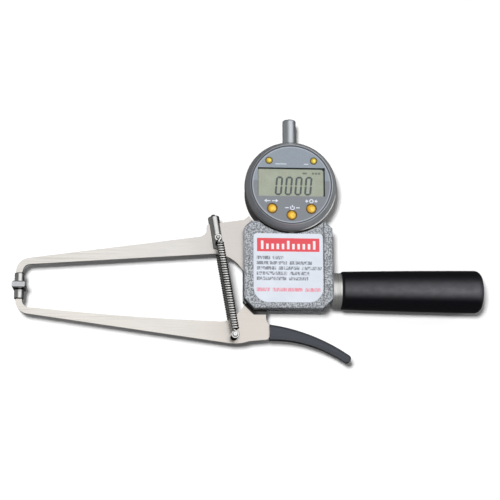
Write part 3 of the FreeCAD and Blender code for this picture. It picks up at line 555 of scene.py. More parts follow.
def label_print():
    """Bluish white plate with a red band, white ticks, dark rows and a red row of broken dashes."""
    finish = Finish("label_print", (0.66, 0.70, 0.77), 0.32)
    x, y = finish.place()[:2]
    left = label_low.x + 2.0 * MM
    top = label_high.y
    sheen = finish.noise(9.0, detail=2.0)
    strokes = finish.noise(0.55, detail=1.0, stretch=(1, 3, 3)).ramp(0.40, 0.56)
    tone = finish.mix(sheen.ramp(0.3, 0.7) * 0.5, (0.70, 0.745, 0.82), (0.635, 0.675, 0.75))
    band = patch(x, y, (label_mid.x, top - 7.6 * MM), 40.5, 8.7)
    tone = finish.mix(band, tone, (0.72, 0.085, 0.105))
    ticks = scale_ticks(x, y, top - 10.4 * MM)
    tone = finish.mix(ticks.clamp() * 0.92, tone, (0.86, 0.87, 0.90))
    rows = 0
    for line, dashes in enumerate(dark_rows):
        rows = row(x, y, left, top - (16.2 + 3.45 * line) * MM, dashes, 2.3) + rows
    tone = finish.mix(rows.clamp() * (0.10 + strokes * 0.66), tone, (0.075, 0.08, 0.10))
    foot = row(x, y, left, top - 37.3 * MM, red_row, 2.4)
    tone = finish.mix(foot.clamp() * (0.22 + strokes * 0.5), tone, (0.80, 0.12, 0.19))
    finish.set(Base_Color=tone, Roughness=0.34 + sheen * 0.08)
    finish.set(Coat_Weight=0.2, Coat_Roughness=0.15)
    return finish


label = label_print()
dress(label, "label_plate")
print("rows of dashes:", len(dark_rows) + 1)

# %% [markdown]
# ## Moulded plastics
#
# The grip is a dense black moulding with a satin, faintly pebbled skin. A paler band along its
# upper side, stronger towards the free end, is a painted highlight. It could be painted on by hand,
# but it follows the way the surface faces here, and so stays put whatever the lamps do.

# %% The grip's painted highlight
def grip_with_highlight():
    """Black satin moulding with a painted highlight along the top, stronger towards the free end.
    """
    finish = Finish("grip_black", (0.004, 0.004, 0.006), 0.30, IOR=1.6, Specular_IOR_Level=0.26)
    fine = finish.noise(1.3, detail=3.0)
    broad = finish.noise(5.5, detail=3.0, stretch=(1, 0.6, 0.6))
    across = finish.facing(1)
    # The band of the painted highlight, by the way the surface faces.
    band = across.ramp(0.78, -0.25) ** 1.5 * across.ramp(-0.64, -0.14)
    x = finish.place()[0]
    outward = x.ramp(grip_low.x - 20 * MM, grip_high.x)
    past_ferrule = x.ramp(grip_low.x + 0.8 * MM, grip_low.x + 2.2 * MM)
    painted_highlight = band * finish.facing(2).above(0.0) * (outward * 0.3 + 0.66)
    painted_highlight = (painted_highlight * (broad * 0.7 + 0.65) * past_ferrule).clamp()
    finish.set(Base_Color=finish.mix(painted_highlight, (0.0045, 0.0045, 0.0065), (0.108, 0.108, 0.120)),
               Roughness=0.27 + fine * 0.10)
    return finish.bump(fine, 0.10, 0.5)


dress(grip_with_highlight(), "grip")
print("grip", round((grip_high.x - grip_low.x) / MM, 1), "mm long")

# %% [markdown]
# The lever's sleeve is a dark slate moulding. Its lower round is painted paler against the shade,
# its upper edge is darker and its lower edge is painted black as shade, again told apart by the way
# the surface faces. The circuit board's green lacquer is hidden in the case and only needs an even
# tone with a little life.

# %% Lever and board
def lever_slate():
    """Dark slate, painted light on its lower round, a darker upper edge and painted shade below."""
    slate = (0.050, 0.055, 0.066)
    finish = Finish("lever_slate", slate, 0.45)
    fine = finish.noise(0.5, detail=3.0)
    scuffs = finish.noise(0.9, detail=2.0, stretch=(6, 1, 1))
    across = finish.facing(1)
    tone = finish.mix(scuffs.ramp(0.45, 0.7) * 0.5, slate, (0.064, 0.068, 0.078))
    # Painted light: the lower round is paler, against the shade there.
    tone = finish.mix(across.ramp(-0.15, -0.8), tone, (0.088, 0.094, 0.108))
    # Darker along the upper edge and painted black as shade along the lower edge.
    darkening = across.ramp(-0.80, -0.96) + across.ramp(0.45, 0.9) * 0.7
    finish.set(Base_Color=finish.mix(darkening.clamp(), tone, (0.006, 0.006, 0.007)),
               Roughness=0.43 + fine * 0.08)
    return finish.bump(fine, 0.015, 0.5)


def board_lacquer():
    """Green lacquer that pools a little unevenly."""
    green = (0.03, 0.16, 0.07)
    finish = Finish("board_green", green, 0.45)
    fine = finish.noise(2.0, detail=3.0)
    broad = finish.noise(14.0, detail=2.0)
    paler = tuple(c * 1.5 + 0.004 for c in green)
    finish.set(Base_Color=finish.mix(broad.ramp(0.35, 0.75) * 0.45, green, paler),
               Roughness=0.40 + broad * 0.10 + fine * 0.05)
    return finish.bump(fine, 0.02, 0.5)


dress(lever_slate(), "lever_sleeve")
dress(board_lacquer(), "circuit_board", "scale_strip")
print("lever and board dressed")

# %% [markdown]
# ## The indicator's metalwork
#
# The case is painted dark and the cap tube a metallic blue-grey. Metallic paint holds tiny flakes
# under a clear coat: part of the surface mirrors softly, and the coat adds its own thin gloss. A
# fine noise between two tones is enough for the flakes, and the shader has a coat of its own.
# Brown spots painted on the case's side stand in for a brownish reflection.

# %% Metallic paint
def metallic_paint(name, color, roughness, metallic=0.7, coat=0.35, spotting=None):
    """Flakes under a clear coat, with duller places of wear and, if asked for, spots of painted
    reflection.
    """
    finish = Finish(name, color, roughness, metallic=metallic)
    flakes = finish.noise(0.12, detail=1.0)
    wear = finish.noise(5.0, detail=3.0)
    dark = tuple(c * 0.75 for c in color)
    light = tuple(min(1.0, c * 1.25) for c in color)
    tone = finish.mix(flakes.ramp(0.35, 0.65), dark, light)
    tone = finish.mix(wear.ramp(0.5, 0.8) * 0.25, tone, dark)
    if spotting:
        # These brown spots are a painted reflection.
        spots = finish.noise(3.2, detail=3.0).ramp(0.42, 0.6)
        tone = finish.mix(spots * 0.7, tone, spotting)
    finish.set(Base_Color=tone, Roughness=roughness + wear * 0.08)
    finish.set(Coat_Weight=coat, Coat_Roughness=0.12)
    return finish


# The case's brown spots are a painted reflection.
case_paint = metallic_paint("case_paint", (0.165, 0.158, 0.152), 0.30,
                            spotting=(0.185, 0.138, 0.108))
cap_paint = metallic_paint("cap_paint", (0.74, 0.785, 0.865), 0.40, metallic=0.9, coat=0.1)
dress(case_paint, "indicator_case", "back_cover")
dress(cap_paint, "top_cap")
print("painted:", case_paint.material.name, cap_paint.material.name)

# %% [markdown]
# The bezel is the ring that a hand turns. It has the same paint, painted paler towards the right as
# light, a dark groove next to the panel and a darker flange at its foot with a painted glint on the
# lower right. The glint is a narrow band of heights, cut off by the direction from the dial's
# middle.

# %% The bezel's paint
def bezel_paint():
    """Satin paint, painted light on the right, a dark groove, a darker flange and a painted glint.
    """
    finish = Finish("bezel_paint", (0.36, 0.38, 0.41), 0.32)
    x, y, z = finish.place()
    flakes = finish.noise(0.12, detail=1.0)
    # Painted light: paler towards the right and darker towards the left.
    light_to_right = ((x - dial.x) + (y - dial.y) * 0.35).ramp(-30 * MM, 26 * MM)
    tone = finish.mix(light_to_right, (0.185, 0.195, 0.215), (0.55, 0.58, 0.61))
    tone = finish.mix(flakes.ramp(0.35, 0.65) * 0.25, tone, (0.22, 0.23, 0.25))
    height = z - bezel_foot
    flange = height.ramp(3.5 * MM, 3.1 * MM)
    tone = finish.mix(flange * 0.75, tone, (0.092, 0.080, 0.072))
    rim = away(x, y, dial).ramp(26.9 * MM, 26.5 * MM)
    tone = finish.mix(rim * 0.9, tone, (0.045, 0.048, 0.055))
    # A painted glint along the flange's edge on the lower right.
    painted_glint = ((x - dial.x) * 0.74 - (y - dial.y) * 0.67).ramp(23 * MM, 28.5 * MM)
    edge = height.ramp(2.2 * MM, 2.45 * MM) * flange
    finish.set(Base_Color=finish.mix(painted_glint * edge * 0.95, tone, (0.97, 0.97, 0.96)),
               Roughness=0.32 + flakes * 0.06, Metallic=0.35 + flange * 0.2)
    return finish.set(Coat_Weight=0.3, Coat_Roughness=0.12)


dress(bezel_paint(), "bezel")
print("bezel's foot at", round(bezel_foot / MM, 1), "mm")

# %% [markdown]
# ## The face panel, its buttons and the display
#
# The panel is a printed overlay in two blue-greys, lighter in the upper half, with a painted
# highlight on the chamfer round it and painted shade in the recess for the display. Two materials
# on two sets of faces could do it, but the print's border runs across one flat face, so both tones
# are mixed in one material.

# %% The panel's print
def panel_print():
    """Two blue-greys that meet above the middle, a painted highlight, a dark edge, painted recess
    shade.
    """
    finish = Finish("panel_print", (0.27, 0.30, 0.35), 0.42)
    x, y, z = finish.place()
    mottling = finish.noise(1.1, detail=2.0)
    upper = (y - dial.y).ramp(2.56 * MM, 2.96 * MM)
    tone = finish.mix(upper, (0.218, 0.235, 0.256), (0.277, 0.317, 0.362))
    out = away(x, y, dial)
    # A painted highlight on the chamfer round the panel.
    chamfer_highlight = out.ramp(25.0 * MM, 25.25 * MM) * out.ramp(25.85 * MM, 25.65 * MM)
    tone = finish.mix(chamfer_highlight * 0.75, tone, (0.46, 0.49, 0.56))
    tone = finish.mix(out.ramp(25.7 * MM, 25.9 * MM) * 0.85, tone, (0.06, 0.065, 0.075))
    # Painted shade on the walls of the display's recess.
    recess = panel_top - 0.15 * MM
    tone = finish.mix(z.ramp(recess, recess - 0.1 * MM), tone, (0.03, 0.032, 0.03))
    finish.set(Base_Color=finish.mix(mottling.ramp(0.35, 0.65) * 0.12, tone, (0.16, 0.17, 0.20)),
               Roughness=0.40 + mottling * 0.08)
    return finish.bump(mottling, 0.01, 0.3)


dress(panel_print(), "face_panel")
print("panel's top at", round(panel_top / MM, 1), "mm")

# %% [markdown]
# The buttons are clear amber domes. Real glass with a coloured core would render slowly and change
# with every lamp. An opaque shader under a clear coat looks the same at this size: the core glows
# towards the side away from the lamp, as a lens gathers light there, and the skirt stays dark.

# %% Amber keys
def amber_key(name, core, skirt):
    """A clear domed key: its core glows towards the lower right and its skirt stays dark."""
    low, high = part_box(name)
    flange = 0.65 * MM
    radius = (high.x - low.x) / 2 - flange
    finish = Finish(name + "_amber", core, 0.24)
    x, y = finish.place()[:2]
    middle = middle_of(name)
    rim = away(x, y, middle).ramp(radius * 0.60, radius * 0.95)
    bright = middle + Vector((0.22, -0.12, 0)) * radius
    glow = away(x, y, bright).ramp(radius * 0.9, radius * 0.15)
    swirl = finish.noise(1.6, detail=2.0)
    tone = finish.mix(glow, core, tuple(min(1.0, c * 1.5 + 0.03) for c in core))
    tone = finish.mix(swirl.ramp(0.4, 0.7) * 0.3, tone, skirt)
    finish.set(Base_Color=finish.mix(rim * 0.92, tone, skirt), Roughness=0.20 + swirl * 0.06)
    return finish.set(Coat_Weight=0.5, Coat_Roughness=0.08)


for name in ("zero_button", "power_button", "unit_button"):
    dress(amber_key(name, core=(0.765, 0.425, 0.034), skirt=(0.20, 0.105, 0.03)), name)
for name in ("left_small_button", "right_small_button"):
    dress(amber_key(name, core=(0.655, 0.485, 0.052), skirt=(0.20, 0.15, 0.045)), name)
print("keys dressed:", len([name for name in made if name.endswith("_amber")]))

# %% [markdown]
# The display is a grey-green glass behind a thin window. The window could be a refracting glass,
# but a flat pane shifts nothing, so it is a transparent shader with a little gloss mixed in, more
# of it at a slant. The figures behind it stay clear.

# %% Display and window
def display_glass():
    """Grey-green liquid crystal, with a painted shadow of the window's edge along the top and
    right.
    """
    finish = Finish("display_glass", (0.355, 0.385, 0.295), 0.30)
    x, y = finish.place()[:2]
    sheen = finish.noise(7.0, detail=1.5)
    lit = finish.mix(sheen.ramp(0.3, 0.7), (0.441, 0.457, 0.380), (0.408, 0.420, 0.341))
    # Outside the clear patch, a painted shadow of the window's edge along the top and the right.
    middle = (dial.x - 0.75 * MM, dial.y + 1.5 * MM)
    clear = patch(x, y, middle, 43.9, 18.8, corner=1.8, edge=0.3)
    finish.set(Base_Color=finish.mix(clear, (0.03, 0.034, 0.036), lit))
    return finish.set(Roughness=0.24 + sheen * 0.05)


def window_glass():
    """A clear pane: a transparent shader with some of the glossy one over it."""
    finish = Finish("window_glass", (0.06, 0.065, 0.06), 0.05)
    smear = finish.noise(6.0, detail=3.0)
    finish.set(Roughness=0.04 + smear * 0.05, IOR=1.45)
    clear = finish.node("ShaderNodeBsdfTransparent", sockets={0: (0.98, 0.99, 0.985, 1.0)})
    glossy = Value(finish, finish.shader.outputs[0])
    slant = finish.node("ShaderNodeLayerWeight", sockets={"Blend": 0.5}, output=1)
    pane = finish.node("ShaderNodeMixShader",
                       sockets={0: slant ** 4 * 0.6 + 0.03, 1: clear, 2: glossy})
    finish.fill(finish.tree.nodes["Material Output"].inputs[0], pane)
    finish.material.blend_method = "BLEND"
    return finish


dress(display_glass(), "display")
dress(window_glass(), "display_window")
bare = [name for name, node in nodes.items()
        if not all(material in made.values() for material in node.data.materials)]
print("face dressed; still bare, and replaced by wound wire below:", bare)

# %% [markdown]
# ## Flat figures and marks
#
# Segments and printed marks are thin flat shapes. Blender's text tool could set the figures, but
# no typeface has these segments, and its letters come with untidy faces. One helper turns closed
# outlines into a mesh of slim plates, which then ride on the frame with the indicator.

# %% Thin plates from outlines
def plates(name, outlines, bottom, thickness, finish):
    """One mesh of flat plates: each outline is a closed run of (x, y) points in metres."""
    points = []
    faces = []
    for outline in outlines:
        start = len(points)
        count = len(outline)
        points += [(x, y, bottom) for x, y in outline]
        points += [(x, y, bottom + thickness) for x, y in outline]
        faces.append([start + count + i for i in range(count)])
        faces.append([start + i for i in reversed(range(count))])
        for i in range(count):
            j = (i + 1) % count
            faces.append([start + i, start + j, start + count + j, start + count + i])
    mesh = bpy.data.meshes.new(name)
    mesh.from_pydata(points, [], faces)
    mesh.validate()
    mesh.materials.append(finish.material)
    piece = bpy.data.objects.new(name, mesh)
    bpy.context.scene.collection.objects.link(piece)
    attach(piece, "frame")
    return piece


def ink(name, color, roughness=0.4):
    """A print or a display segment: nearly even, with a little unevenness of the film."""
    finish = Finish(name, color, roughness)
    uneven = finish.noise(0.8, detail=2.0)
    paler = tuple(min(1.0, c * 1.3 + 0.01) for c in color)
    return finish.set(Base_Color=finish.mix(uneven.ramp(0.35, 0.7) * 0.5, color, paler),
                      Roughness=roughness + uneven * 0.08)


film = 0.02 * MM
print("film", film / MM, "mm thick")

# %% [markdown]
# The figures are the usual seven-segment kind, leaning a little to the right. A zero lights all
# the segments but the middle one. Each segment is a bar with mitred ends, so neighbours almost
# meet at the corners. Four plain bars above them stand for the small signs of such displays.

# %% Display figures
digit_width = 4.7 * MM
digit_height = 12.8 * MM
digit_pitch = 6.45 * MM
stroke = 1.3 * MM
lean = math.tan(math.radians(5.5))
first_digit = dial + Vector((-8.1 * MM, -0.44 * MM, 0))


def bar_outline(centre, width, height):
    """The corners of an upright rectangle."""
    x, y = centre
    return [(x - width / 2, y - height / 2), (x + width / 2, y - height / 2),
            (x + width / 2, y + height / 2), (x - width / 2, y + height / 2)]


def segment(centre, half_length, upright):
    """A bar with pointed ends, along Y if upright and along X otherwise, before it leans."""
    h = stroke / 2
    tip = half_length
    inner = tip - h
    along = [(-tip, 0), (-inner, h), (inner, h), (tip, 0), (inner, -h), (-inner, -h)]
    if upright:
        along = [(y, x) for x, y in along]
    return [(centre[0] + x, centre[1] + y) for x, y in along]


def zero_outlines(middle):
    """The six lit segments of a leaning 0 round middle."""
    half_w = (digit_width - stroke) / 2
    half_h = (digit_height - stroke) / 2
    gap = 0.06 * MM
    bars = [segment((0, half_h), half_w - gap, False), segment((0, -half_h), half_w - gap, False)]
    for x in (-half_w, half_w):
        for y in (-half_h / 2, half_h / 2):
            bars.append(segment((x, y), half_h / 2 - gap, True))
    return [[(middle.x + x + y * lean, middle.y + y) for x, y in bar] for bar in bars]


outlines = []
for place in range(4):
    outlines += zero_outlines(first_digit + Vector((digit_pitch * place, 0, 0)))
segment_ink = ink("segment_ink", (0.086, 0.101, 0.108), 0.3)
plates("display_figures", outlines, display_top, film, segment_ink)

sign_ink = ink("faint_segment_ink", (0.17, 0.185, 0.155), 0.3)
signs = [bar_outline((dial.x + place * MM, dial.y + 8.2 * MM), width * MM, 1.3 * MM)
         for place, width in ((8.9, 2.8), (14.5, 1.5), (16.5, 1.5), (18.5, 1.5))]
plates("display_signs", signs, display_top, film, sign_ink)
print(len(outlines), "segments lit,", len(signs), "small signs")

# %% [markdown]
# ## Marks by the buttons
#
# The printed marks are generic signs: a ring with a bar for the switch, arrows that point at a
# plain 0 for zeroing, a two-way arrow for changing the unit and a dash by each small key. Rings
# are bands between two circles, cut so that each plate stays a simple outline.

# %% Shapes of the marks
line_width = 0.68 * MM


def arc_band(centre, radius, width, start, end, steps=14):
    """The outline of a band along a circle from start to end, in degrees."""
    angles = [math.radians(start + (end - start) * i / steps) for i in range(steps + 1)]
    outer = [(centre[0] + (radius + width / 2) * math.cos(a),
              centre[1] + (radius + width / 2) * math.sin(a)) for a in angles]
    inner = [(centre[0] + (radius - width / 2) * math.cos(a),
              centre[1] + (radius - width / 2) * math.sin(a)) for a in reversed(angles)]
    return outer + inner


def arrow(centre, tip, tail):
    """An arrow along X with its point tip and its end tail to the side of centre."""
    x, y = centre
    way = 1 if tip > tail else -1
    neck = tip - way * 1.6 * MM
    head = [(x + tip, y), (x + neck, y + 1.2 * MM), (x + neck, y - 1.2 * MM)]
    shaft = bar_outline((x + (neck + tail) / 2, y), abs(neck - tail), line_width)
    return [head[::way], shaft]


print("lines", line_width / MM, "mm wide")

# %% Panel marks
power = middle_of("power_button") + Vector((0.4 * MM, 4.9 * MM, 0))
zero = middle_of("zero_button") + Vector((0.1 * MM, 5.1 * MM, 0))
unit = middle_of("unit_button") + Vector((-0.6 * MM, 5.1 * MM, 0))
marks = [arc_band(power, 1.25 * MM, line_width, 135, 405, 24),
         bar_outline((power.x, power.y + 1.05 * MM), line_width, 1.5 * MM),
         arc_band(zero, 1.1 * MM, line_width, 0, 180),
         arc_band(zero, 1.1 * MM, line_width, 180, 360)]
for side in (-1, 1):
    marks.append(bar_outline((power.x + side * 3.6 * MM, power.y), 2.4 * MM, line_width))
    marks += arrow((zero.x, zero.y), side * 1.8 * MM, side * 4.0 * MM)
    marks += arrow((unit.x, unit.y), side * 4.6 * MM, side * 0.5 * MM)
for name, aside, length in (("left_small_button", 7.8, 7.4), ("right_small_button", -5.0, 3.0)):
    small = middle_of(name)
    marks.append(bar_outline((small.x + aside * MM, small.y - 2.3 * MM), length * MM, 0.5 * MM))
mark_ink = ink("mark_ink", (0.62, 0.66, 0.74))
plates("panel_marks", marks, panel_top, film * 0.75, mark_ink)
print(len(marks), "marks printed")

# %% [markdown]
# ## Wound springs
#
# CAD keeps each coil as a ribbed tube. Here the wire is followed for real: a loop round the upper
# pin, a neck, turns that widen to the coil's size, the coil itself, and the same again at the
# lower stud. The Screw modifier could wind the coil, but the hooks need one unbroken wire with it,
# so one list of points describes the whole of it.

# %% Sizes of the springs
wire = 0.68 * MM
coil_means = {"front": 1.84 * MM, "rear": 1.70 * MM}
pitch = 1.62 * MM
coil_aside = 0.7 * MM
upper_loop, upper_lead = 1.8 * MM, 4.3 * MM
lower_loop, lower_lead = 2.1 * MM, 3.8 * MM
print("coils of", [round(mean * 2 / MM, 2) for mean in coil_means.values()], "mm mean diameter")

# %% The wire's path
def smoothed(points, rounds=2):
    """Cuts the corners of a run of points, keeping its ends."""
    for _ in range(rounds):
        cut = [points[0]]
        for a, b in zip(points, points[1:]):
            cut += [a.lerp(b, 0.25), a.lerp(b, 0.75)]
        points = cut + [points[-1]]
    return points


def loop_points(radius, towards):
    """A hook round a pin at 0, from its open end; towards is 1 if the coil lies on +Y, else -1."""
    points = []
    for step in range(31):
        angle = math.radians(-160 + 318 * step / 30)
        points.append(Vector((radius * math.sin(angle), -towards * radius * math.cos(angle), 0)))
    return points


def coil_points(start, end, coil_mean):
    """The turns between start and end, with three quarters of a turn closing in at each end."""
    turns = round((end - start) / pitch)
    steps = 20
    run_in = steps * 3 // 4
    coil = []
    for step in range(-run_in, turns * steps + run_in + 1):
        angle = 2 * math.pi * step / steps
        along = start + (end - start) * step / (turns * steps)
        along = min(max(along, start - 0.9 * MM), end + 0.9 * MM)
        inward = max(-step, step - turns * steps, 0) / run_in
        radius = coil_mean * (1 - inward ** 2)
        aside = coil_aside * (1 - inward ** 2)
        coil.append(Vector((aside + radius * math.cos(angle), along, radius * math.sin(angle))))
    return coil


def spring_path(length, coil_mean):
    """The wire's points along Y, with the upper pin at 0 and the lower stud at length."""
    start, end = upper_lead, length - lower_lead
    upper = loop_points(upper_loop, 1)
    neck = smoothed([upper[-1], Vector((0.15 * MM, upper_loop + 0.5 * MM, 0)),
                     Vector((0, upper_loop + 1.1 * MM, 0)), Vector((0, start - 1.0 * MM, 0))])
    lower = [Vector((p.x, length + p.y, 0)) for p in loop_points(lower_loop, -1)]
    foot = smoothed([Vector((0, end + 1.0 * MM, 0)), Vector((0, length - lower_loop - 1.0 * MM, 0)),
                     Vector((0.15 * MM, length - lower_loop - 0.5 * MM, 0)), lower[-1]])
    return upper + neck[1:] + coil_points(start, end, coil_mean) + foot[:-1] + lower[::-1]


print("a hook is drawn with", len(loop_points(upper_loop, 1)), "points")

# %% [markdown]
# A bevelled curve would give the wire its thickness too, but its section can flip at tight bends.
# Here each ring of the section is carried on from the last one without twisting, and a plain mesh
# comes of it.

# %% Sweep the wire
def swept(name, points, radius, sides=12):
    """A round wire along points. Its section is carried from ring to ring without twisting."""
    rings = []
    angles = [2 * math.pi * k / sides for k in range(sides)]
    side = Vector((0, 0, 1))
    for index, point in enumerate(points):
        before = points[max(index - 1, 0)]
        after = points[min(index + 1, len(points) - 1)]
        ahead = (after - before).normalized()
        side = (side - ahead * side.dot(ahead)).normalized()
        other = ahead.cross(side)
        rings.append([point + side * (radius * math.cos(a)) + other * (radius * math.sin(a))
                      for a in angles])
    vertices = [vertex for ring in rings for vertex in ring]
    faces = []
    for ring in range(len(rings) - 1):
        for k in range(sides):
            a = ring * sides + k
            b = ring * sides + (k + 1) % sides
            faces.append((a, b, b + sides, a + sides))
    faces.append(tuple(reversed(range(sides))))
    faces.append(tuple(len(vertices) - sides + k for k in range(sides)))
    mesh = bpy.data.meshes.new(name)
    mesh.from_pydata(vertices, [], faces)
    for polygon in mesh.polygons:
        polygon.use_smooth = len(polygon.vertices) == 4
    return mesh


print("wire", wire * 2 / MM, "mm thick")

# %% [markdown]
# A close coil is bright only along the outer side of its turns, and the gaps between them catch no
# light. Each point of the mesh therefore stores how far out it lies. Where the wire lies outside
# and faces up, the finish paints it bright as a highlight; elsewhere it paints black shade.

# %% The wire's finish
def spring_wire(name, color):
    """Drawn wire with a painted highlight on the outer side of its turns and painted shade
    elsewhere.
    """
    finish = Finish(name, color, 0.16, metallic=0.6)
    drawn = finish.noise(0.5, detail=2.0)
    darkening = finish.noise(2.2, detail=3.0)
    dull = tuple(c * 0.45 for c in color)
    shade = finish.mix(darkening.ramp(0.5, 0.75) * 0.5, color, dull)
    outside = finish.node("ShaderNodeAttribute", {"attribute_name": "outside"}, output=2)
    # Painted highlight where the wire lies outside and faces up; painted black shade elsewhere.
    wire_highlight = outside * abs(finish.facing(2) - finish.facing(0) * 0.14).ramp(0.56, 0.86)
    finish.set(Base_Color=finish.mix(wire_highlight, (0.03, 0.03, 0.027), shade),
               Roughness=0.20 + drawn * 0.12)
    return finish.bump(drawn, 0.004, 0.3)


def mark_outside(mesh, coil_mean, start, ahead, low, high):
    """Stores how far out each point lies on the coil's turns; hooks count as wholly outside."""
    outside = mesh.attributes.new("outside", "FLOAT", "POINT")
    for vertex, entry in zip(mesh.vertices, outside.data):
        from_start = vertex.co - start
        along = from_start.dot(ahead)
        out = (from_start - ahead * along).length
        share = (out - coil_mean - wire * 0.5) / (wire * 0.36)
        entry.value = min(max(share, 0.0), 1.0) if low < along < high else 1.0


wires = {"front": spring_wire("front_spring_wire", (1.0, 1.0, 0.98)),
         # The rear spring's wire is painted darker, as shade.
         "rear": spring_wire("rear_spring_wire", (0.26, 0.255, 0.24))}
print("wire finishes:", [finish.material.name for finish in wires.values()])

# %% [markdown]
# Each spring hangs between the barrel's pin and the stud, one in front of the arms and one behind.
# It stretches when the arm opens; here its wire is drawn at rest, in place of the CAD coil, hook
# and foot, which are hidden.

# %% Hang the springs
def hang_spring(side):
    """One spring, drawn from the barrel's pin to the stud in its own plane."""
    swing = Vector(joints[f"{side}_spring_swing"]["pos_m"])
    down = Vector(joints[f"{side}_spring_stretch"]["axis"])
    length = (Vector((stud_mid.x, stud_mid.y, swing.z)) - swing).length
    across = Vector((0, 0, 1)).cross(down)
    path = spring_path(length, coil_means[side])
    turn = Matrix((across, down, across.cross(down))).transposed()
    mesh = swept(f"{side}_spring_wire", [swing + turn @ p for p in path], wire)
    coil_axis = swing + across * coil_aside
    mark_outside(mesh, coil_means[side], coil_axis, down, 3.6 * MM, length - 3.1 * MM)
    mesh.materials.append(wires[side].material)
    piece = bpy.data.objects.new(f"{side}_spring_wire", mesh)
    bpy.context.scene.collection.objects.link(piece)
    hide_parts(f"{side}_coil", f"{side}_hook", f"{side}_foot")
    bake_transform(piece)
    return piece, length


for side in ("front", "rear"):
    spring, spring_length = hang_spring(side)
    print(spring.name, len(spring.data.vertices), "points,", round(spring_length / MM, 1),
          "mm between pins")

# %% [markdown]
# ## Table, sky and lamps
#
# The caliper lies on a plain white table under one high lamp a little to the left, small enough to
# draw shadows with narrow soft edges, and a weak card on the right fills them. The table and the
# sky are white for the camera. More light or a lit backdrop could make them white too, but that
# light would fall on the piece as well, so the rays that look at them are told apart instead.

# %% Kinds of rays
def rays(recipe, *kinds):
    """1 for the named kinds of rays and 0 for the others."""
    found = recipe.node("ShaderNodeLightPath", output=kinds[0])
    for kind in kinds[1:]:
        found = found.above(recipe.node("ShaderNodeLightPath", output=kind))
    return found


def between(recipe, factor, low, high):
    """low where factor is 0 and high where it is 1; both may be numbers or values."""
    return recipe.node("ShaderNodeMix", sockets={0: factor, 2: low, 3: high})


looking = ("Is Camera Ray", "Is Transmission Ray")
mirroring = "Is Glossy Ray"
print("rays told apart:", *looking, mirroring)

# %% The table
def studio_floor(glow):
    """A white plane just under the piece, with a glow that only cameras and mirrors see."""
    bpy.ops.mesh.primitive_plane_add(size=8.0, location=(0, 0, -0.2 * MM))
    floor = bpy.context.object
    floor.name = "studio_floor"
    finish = Finish("studio_floor", (0.97, 0.97, 0.97), 0.9, Specular_IOR_Level=0.0,
                    Emission_Color=(1, 1, 1, 1))
    seen = rays(finish, *looking, mirroring)
    finish.set(Emission_Strength=between(finish, seen, 0.0, glow))
    floor.data.materials.append(finish.material)
    floor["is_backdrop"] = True
    return floor


floor = studio_floor(glow=0.04)
print("table", floor.dimensions.x, "m wide")

# %% [markdown]
# Bright metal gets its light from what it mirrors, so the sky has two jobs. Matt pieces see an
# even, faint light from all round. Mirrors see a full light overhead and fainter ones at the
# sides, as if a soft box hung over the table, which gives the turned pieces their bright bars.

# %% The sky
def close_to(recipe, direction, low, high):
    """1 for rays close to a direction and 0 for others; low and high are cosines of the angle."""
    ray = recipe.node("ShaderNodeTexCoord", output="Generated")
    cosine = recipe.node("ShaderNodeVectorMath", {"operation": "DOT_PRODUCT"},
                         {0: ray, 1: Vector(direction).normalized()}, output="Value")
    return cosine.ramp(low, high)


def studio_sky(level, overhead, low, left, right):
    """A world that is white to look at and lights matt things at a level.

    Glossy things see full light round the overhead direction and fainter light at its sides."""
    world = bpy.data.worlds.new("studio_sky")
    bpy.context.scene.world = world
    world.use_nodes = True
    recipe = Recipe(world.node_tree)
    sides = between(recipe, close_to(recipe, (-1, 0, 0), 0.3, 0.9), low, left)
    sides = between(recipe, close_to(recipe, (1, 0, 0), 0.3, 0.9), sides, right)
    mirrored = between(recipe, close_to(recipe, overhead, 0.62, 0.88), sides, 1.0)
    lit = between(recipe, rays(recipe, mirroring), level, mirrored)
    strength = between(recipe, rays(recipe, *looking), lit, 1.0)
    background = recipe.tree.nodes["Background"]
    recipe.fill(background.inputs["Color"], (1, 1, 1, 1))
    recipe.fill(background.inputs["Strength"], strength)
    return world


sky = studio_sky(level=0.09, overhead=(0.42, 0.05, 1.0), low=0.05, left=0.18, right=0.05)
print("sky with", len(sky.node_tree.nodes), "nodes")

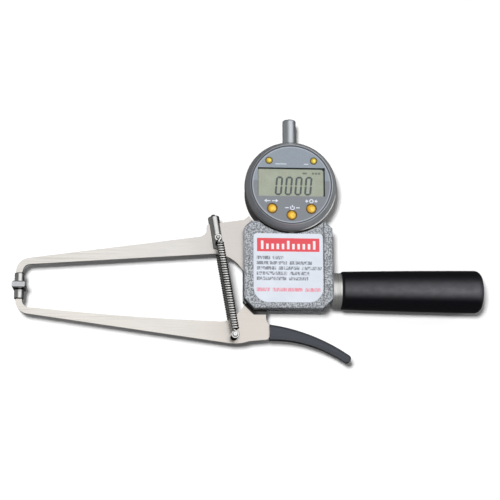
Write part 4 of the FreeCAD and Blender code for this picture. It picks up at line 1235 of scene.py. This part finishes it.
# %% The lamps
def area_lamp(name, place, size, watts):
    """A rectangular lamp that faces the middle of the frame."""
    lamp = bpy.data.lights.new(name, "AREA")
    lamp.shape = "RECTANGLE"
    lamp.size, lamp.size_y = size
    lamp.energy = watts
    holder = bpy.data.objects.new(name, lamp)
    bpy.context.scene.collection.objects.link(holder)
    holder.location = place
    holder.rotation_euler = (-Vector(place)).to_track_quat("-Z", "Y").to_euler()
    return holder


key = area_lamp("key_light", place=(-0.305, -0.03, 1.5), size=(0.28, 0.26), watts=22.6)
fill = area_lamp("fill_card", place=(1.2, 0.3, 0.8), size=(0.5, 0.5), watts=2.0)
for unmirrored in (floor, key, fill):
    unmirrored.visible_glossy = False
print("lamps:", key.name, fill.name)

# %% [markdown]
# ## The camera
#
# The camera hangs almost a metre above the table with a long lens and leans a little, so that the
# housing's lower wall and the case's side show. A Track To constraint could aim it, but it has no
# say over the roll. Its place is worked out from the point it looks at, two lean angles, the roll
# and the distance, and its lens from the size that a pixel has to cover there.

# %% Camera
def add_camera():
    """Aims a long lens; pixel is what one pixel of a picture 500 wide covers at look_at."""
    look_at = Vector((-0.0264, -0.0412, 0.014))
    lean_right, lean_up, roll = math.radians(4.0), math.radians(12.9), math.radians(0.75)
    distance, pixel, picture_width = 0.950, 0.656 * MM, 500
    ahead = Vector((math.tan(lean_right), math.tan(lean_up), -1)).normalized()
    right = (Vector((1, 0, 0)) - ahead * ahead.x).normalized()
    up = right.cross(ahead)
    right, up = (right * math.cos(roll) + up * math.sin(roll),
                 up * math.cos(roll) - right * math.sin(roll))
    lens = bpy.data.cameras.new("camera")
    lens.sensor_width = 36.0
    lens.lens = lens.sensor_width * (distance / pixel) / picture_width
    lens.clip_end = 20
    camera = bpy.data.objects.new("camera", lens)
    bpy.context.scene.collection.objects.link(camera)
    turn = Matrix((right, up, -ahead)).transposed().to_4x4()
    camera.matrix_world = Matrix.Translation(look_at - ahead * distance) @ turn
    bpy.context.scene.camera = camera
    return camera


camera = add_camera()
bpy.context.scene.view_settings.view_transform = "Standard"
print("camera", round(camera.data.lens, 1), "mm lens")

# %% Sizes and finish
boxes = {"cad": [list(corner) for corner in cad_bounds],
         "visual": [list(corner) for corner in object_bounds()]}
for name, box in boxes.items():
    print(name, [[round(c / MM, 1) for c in corner] for corner in box])
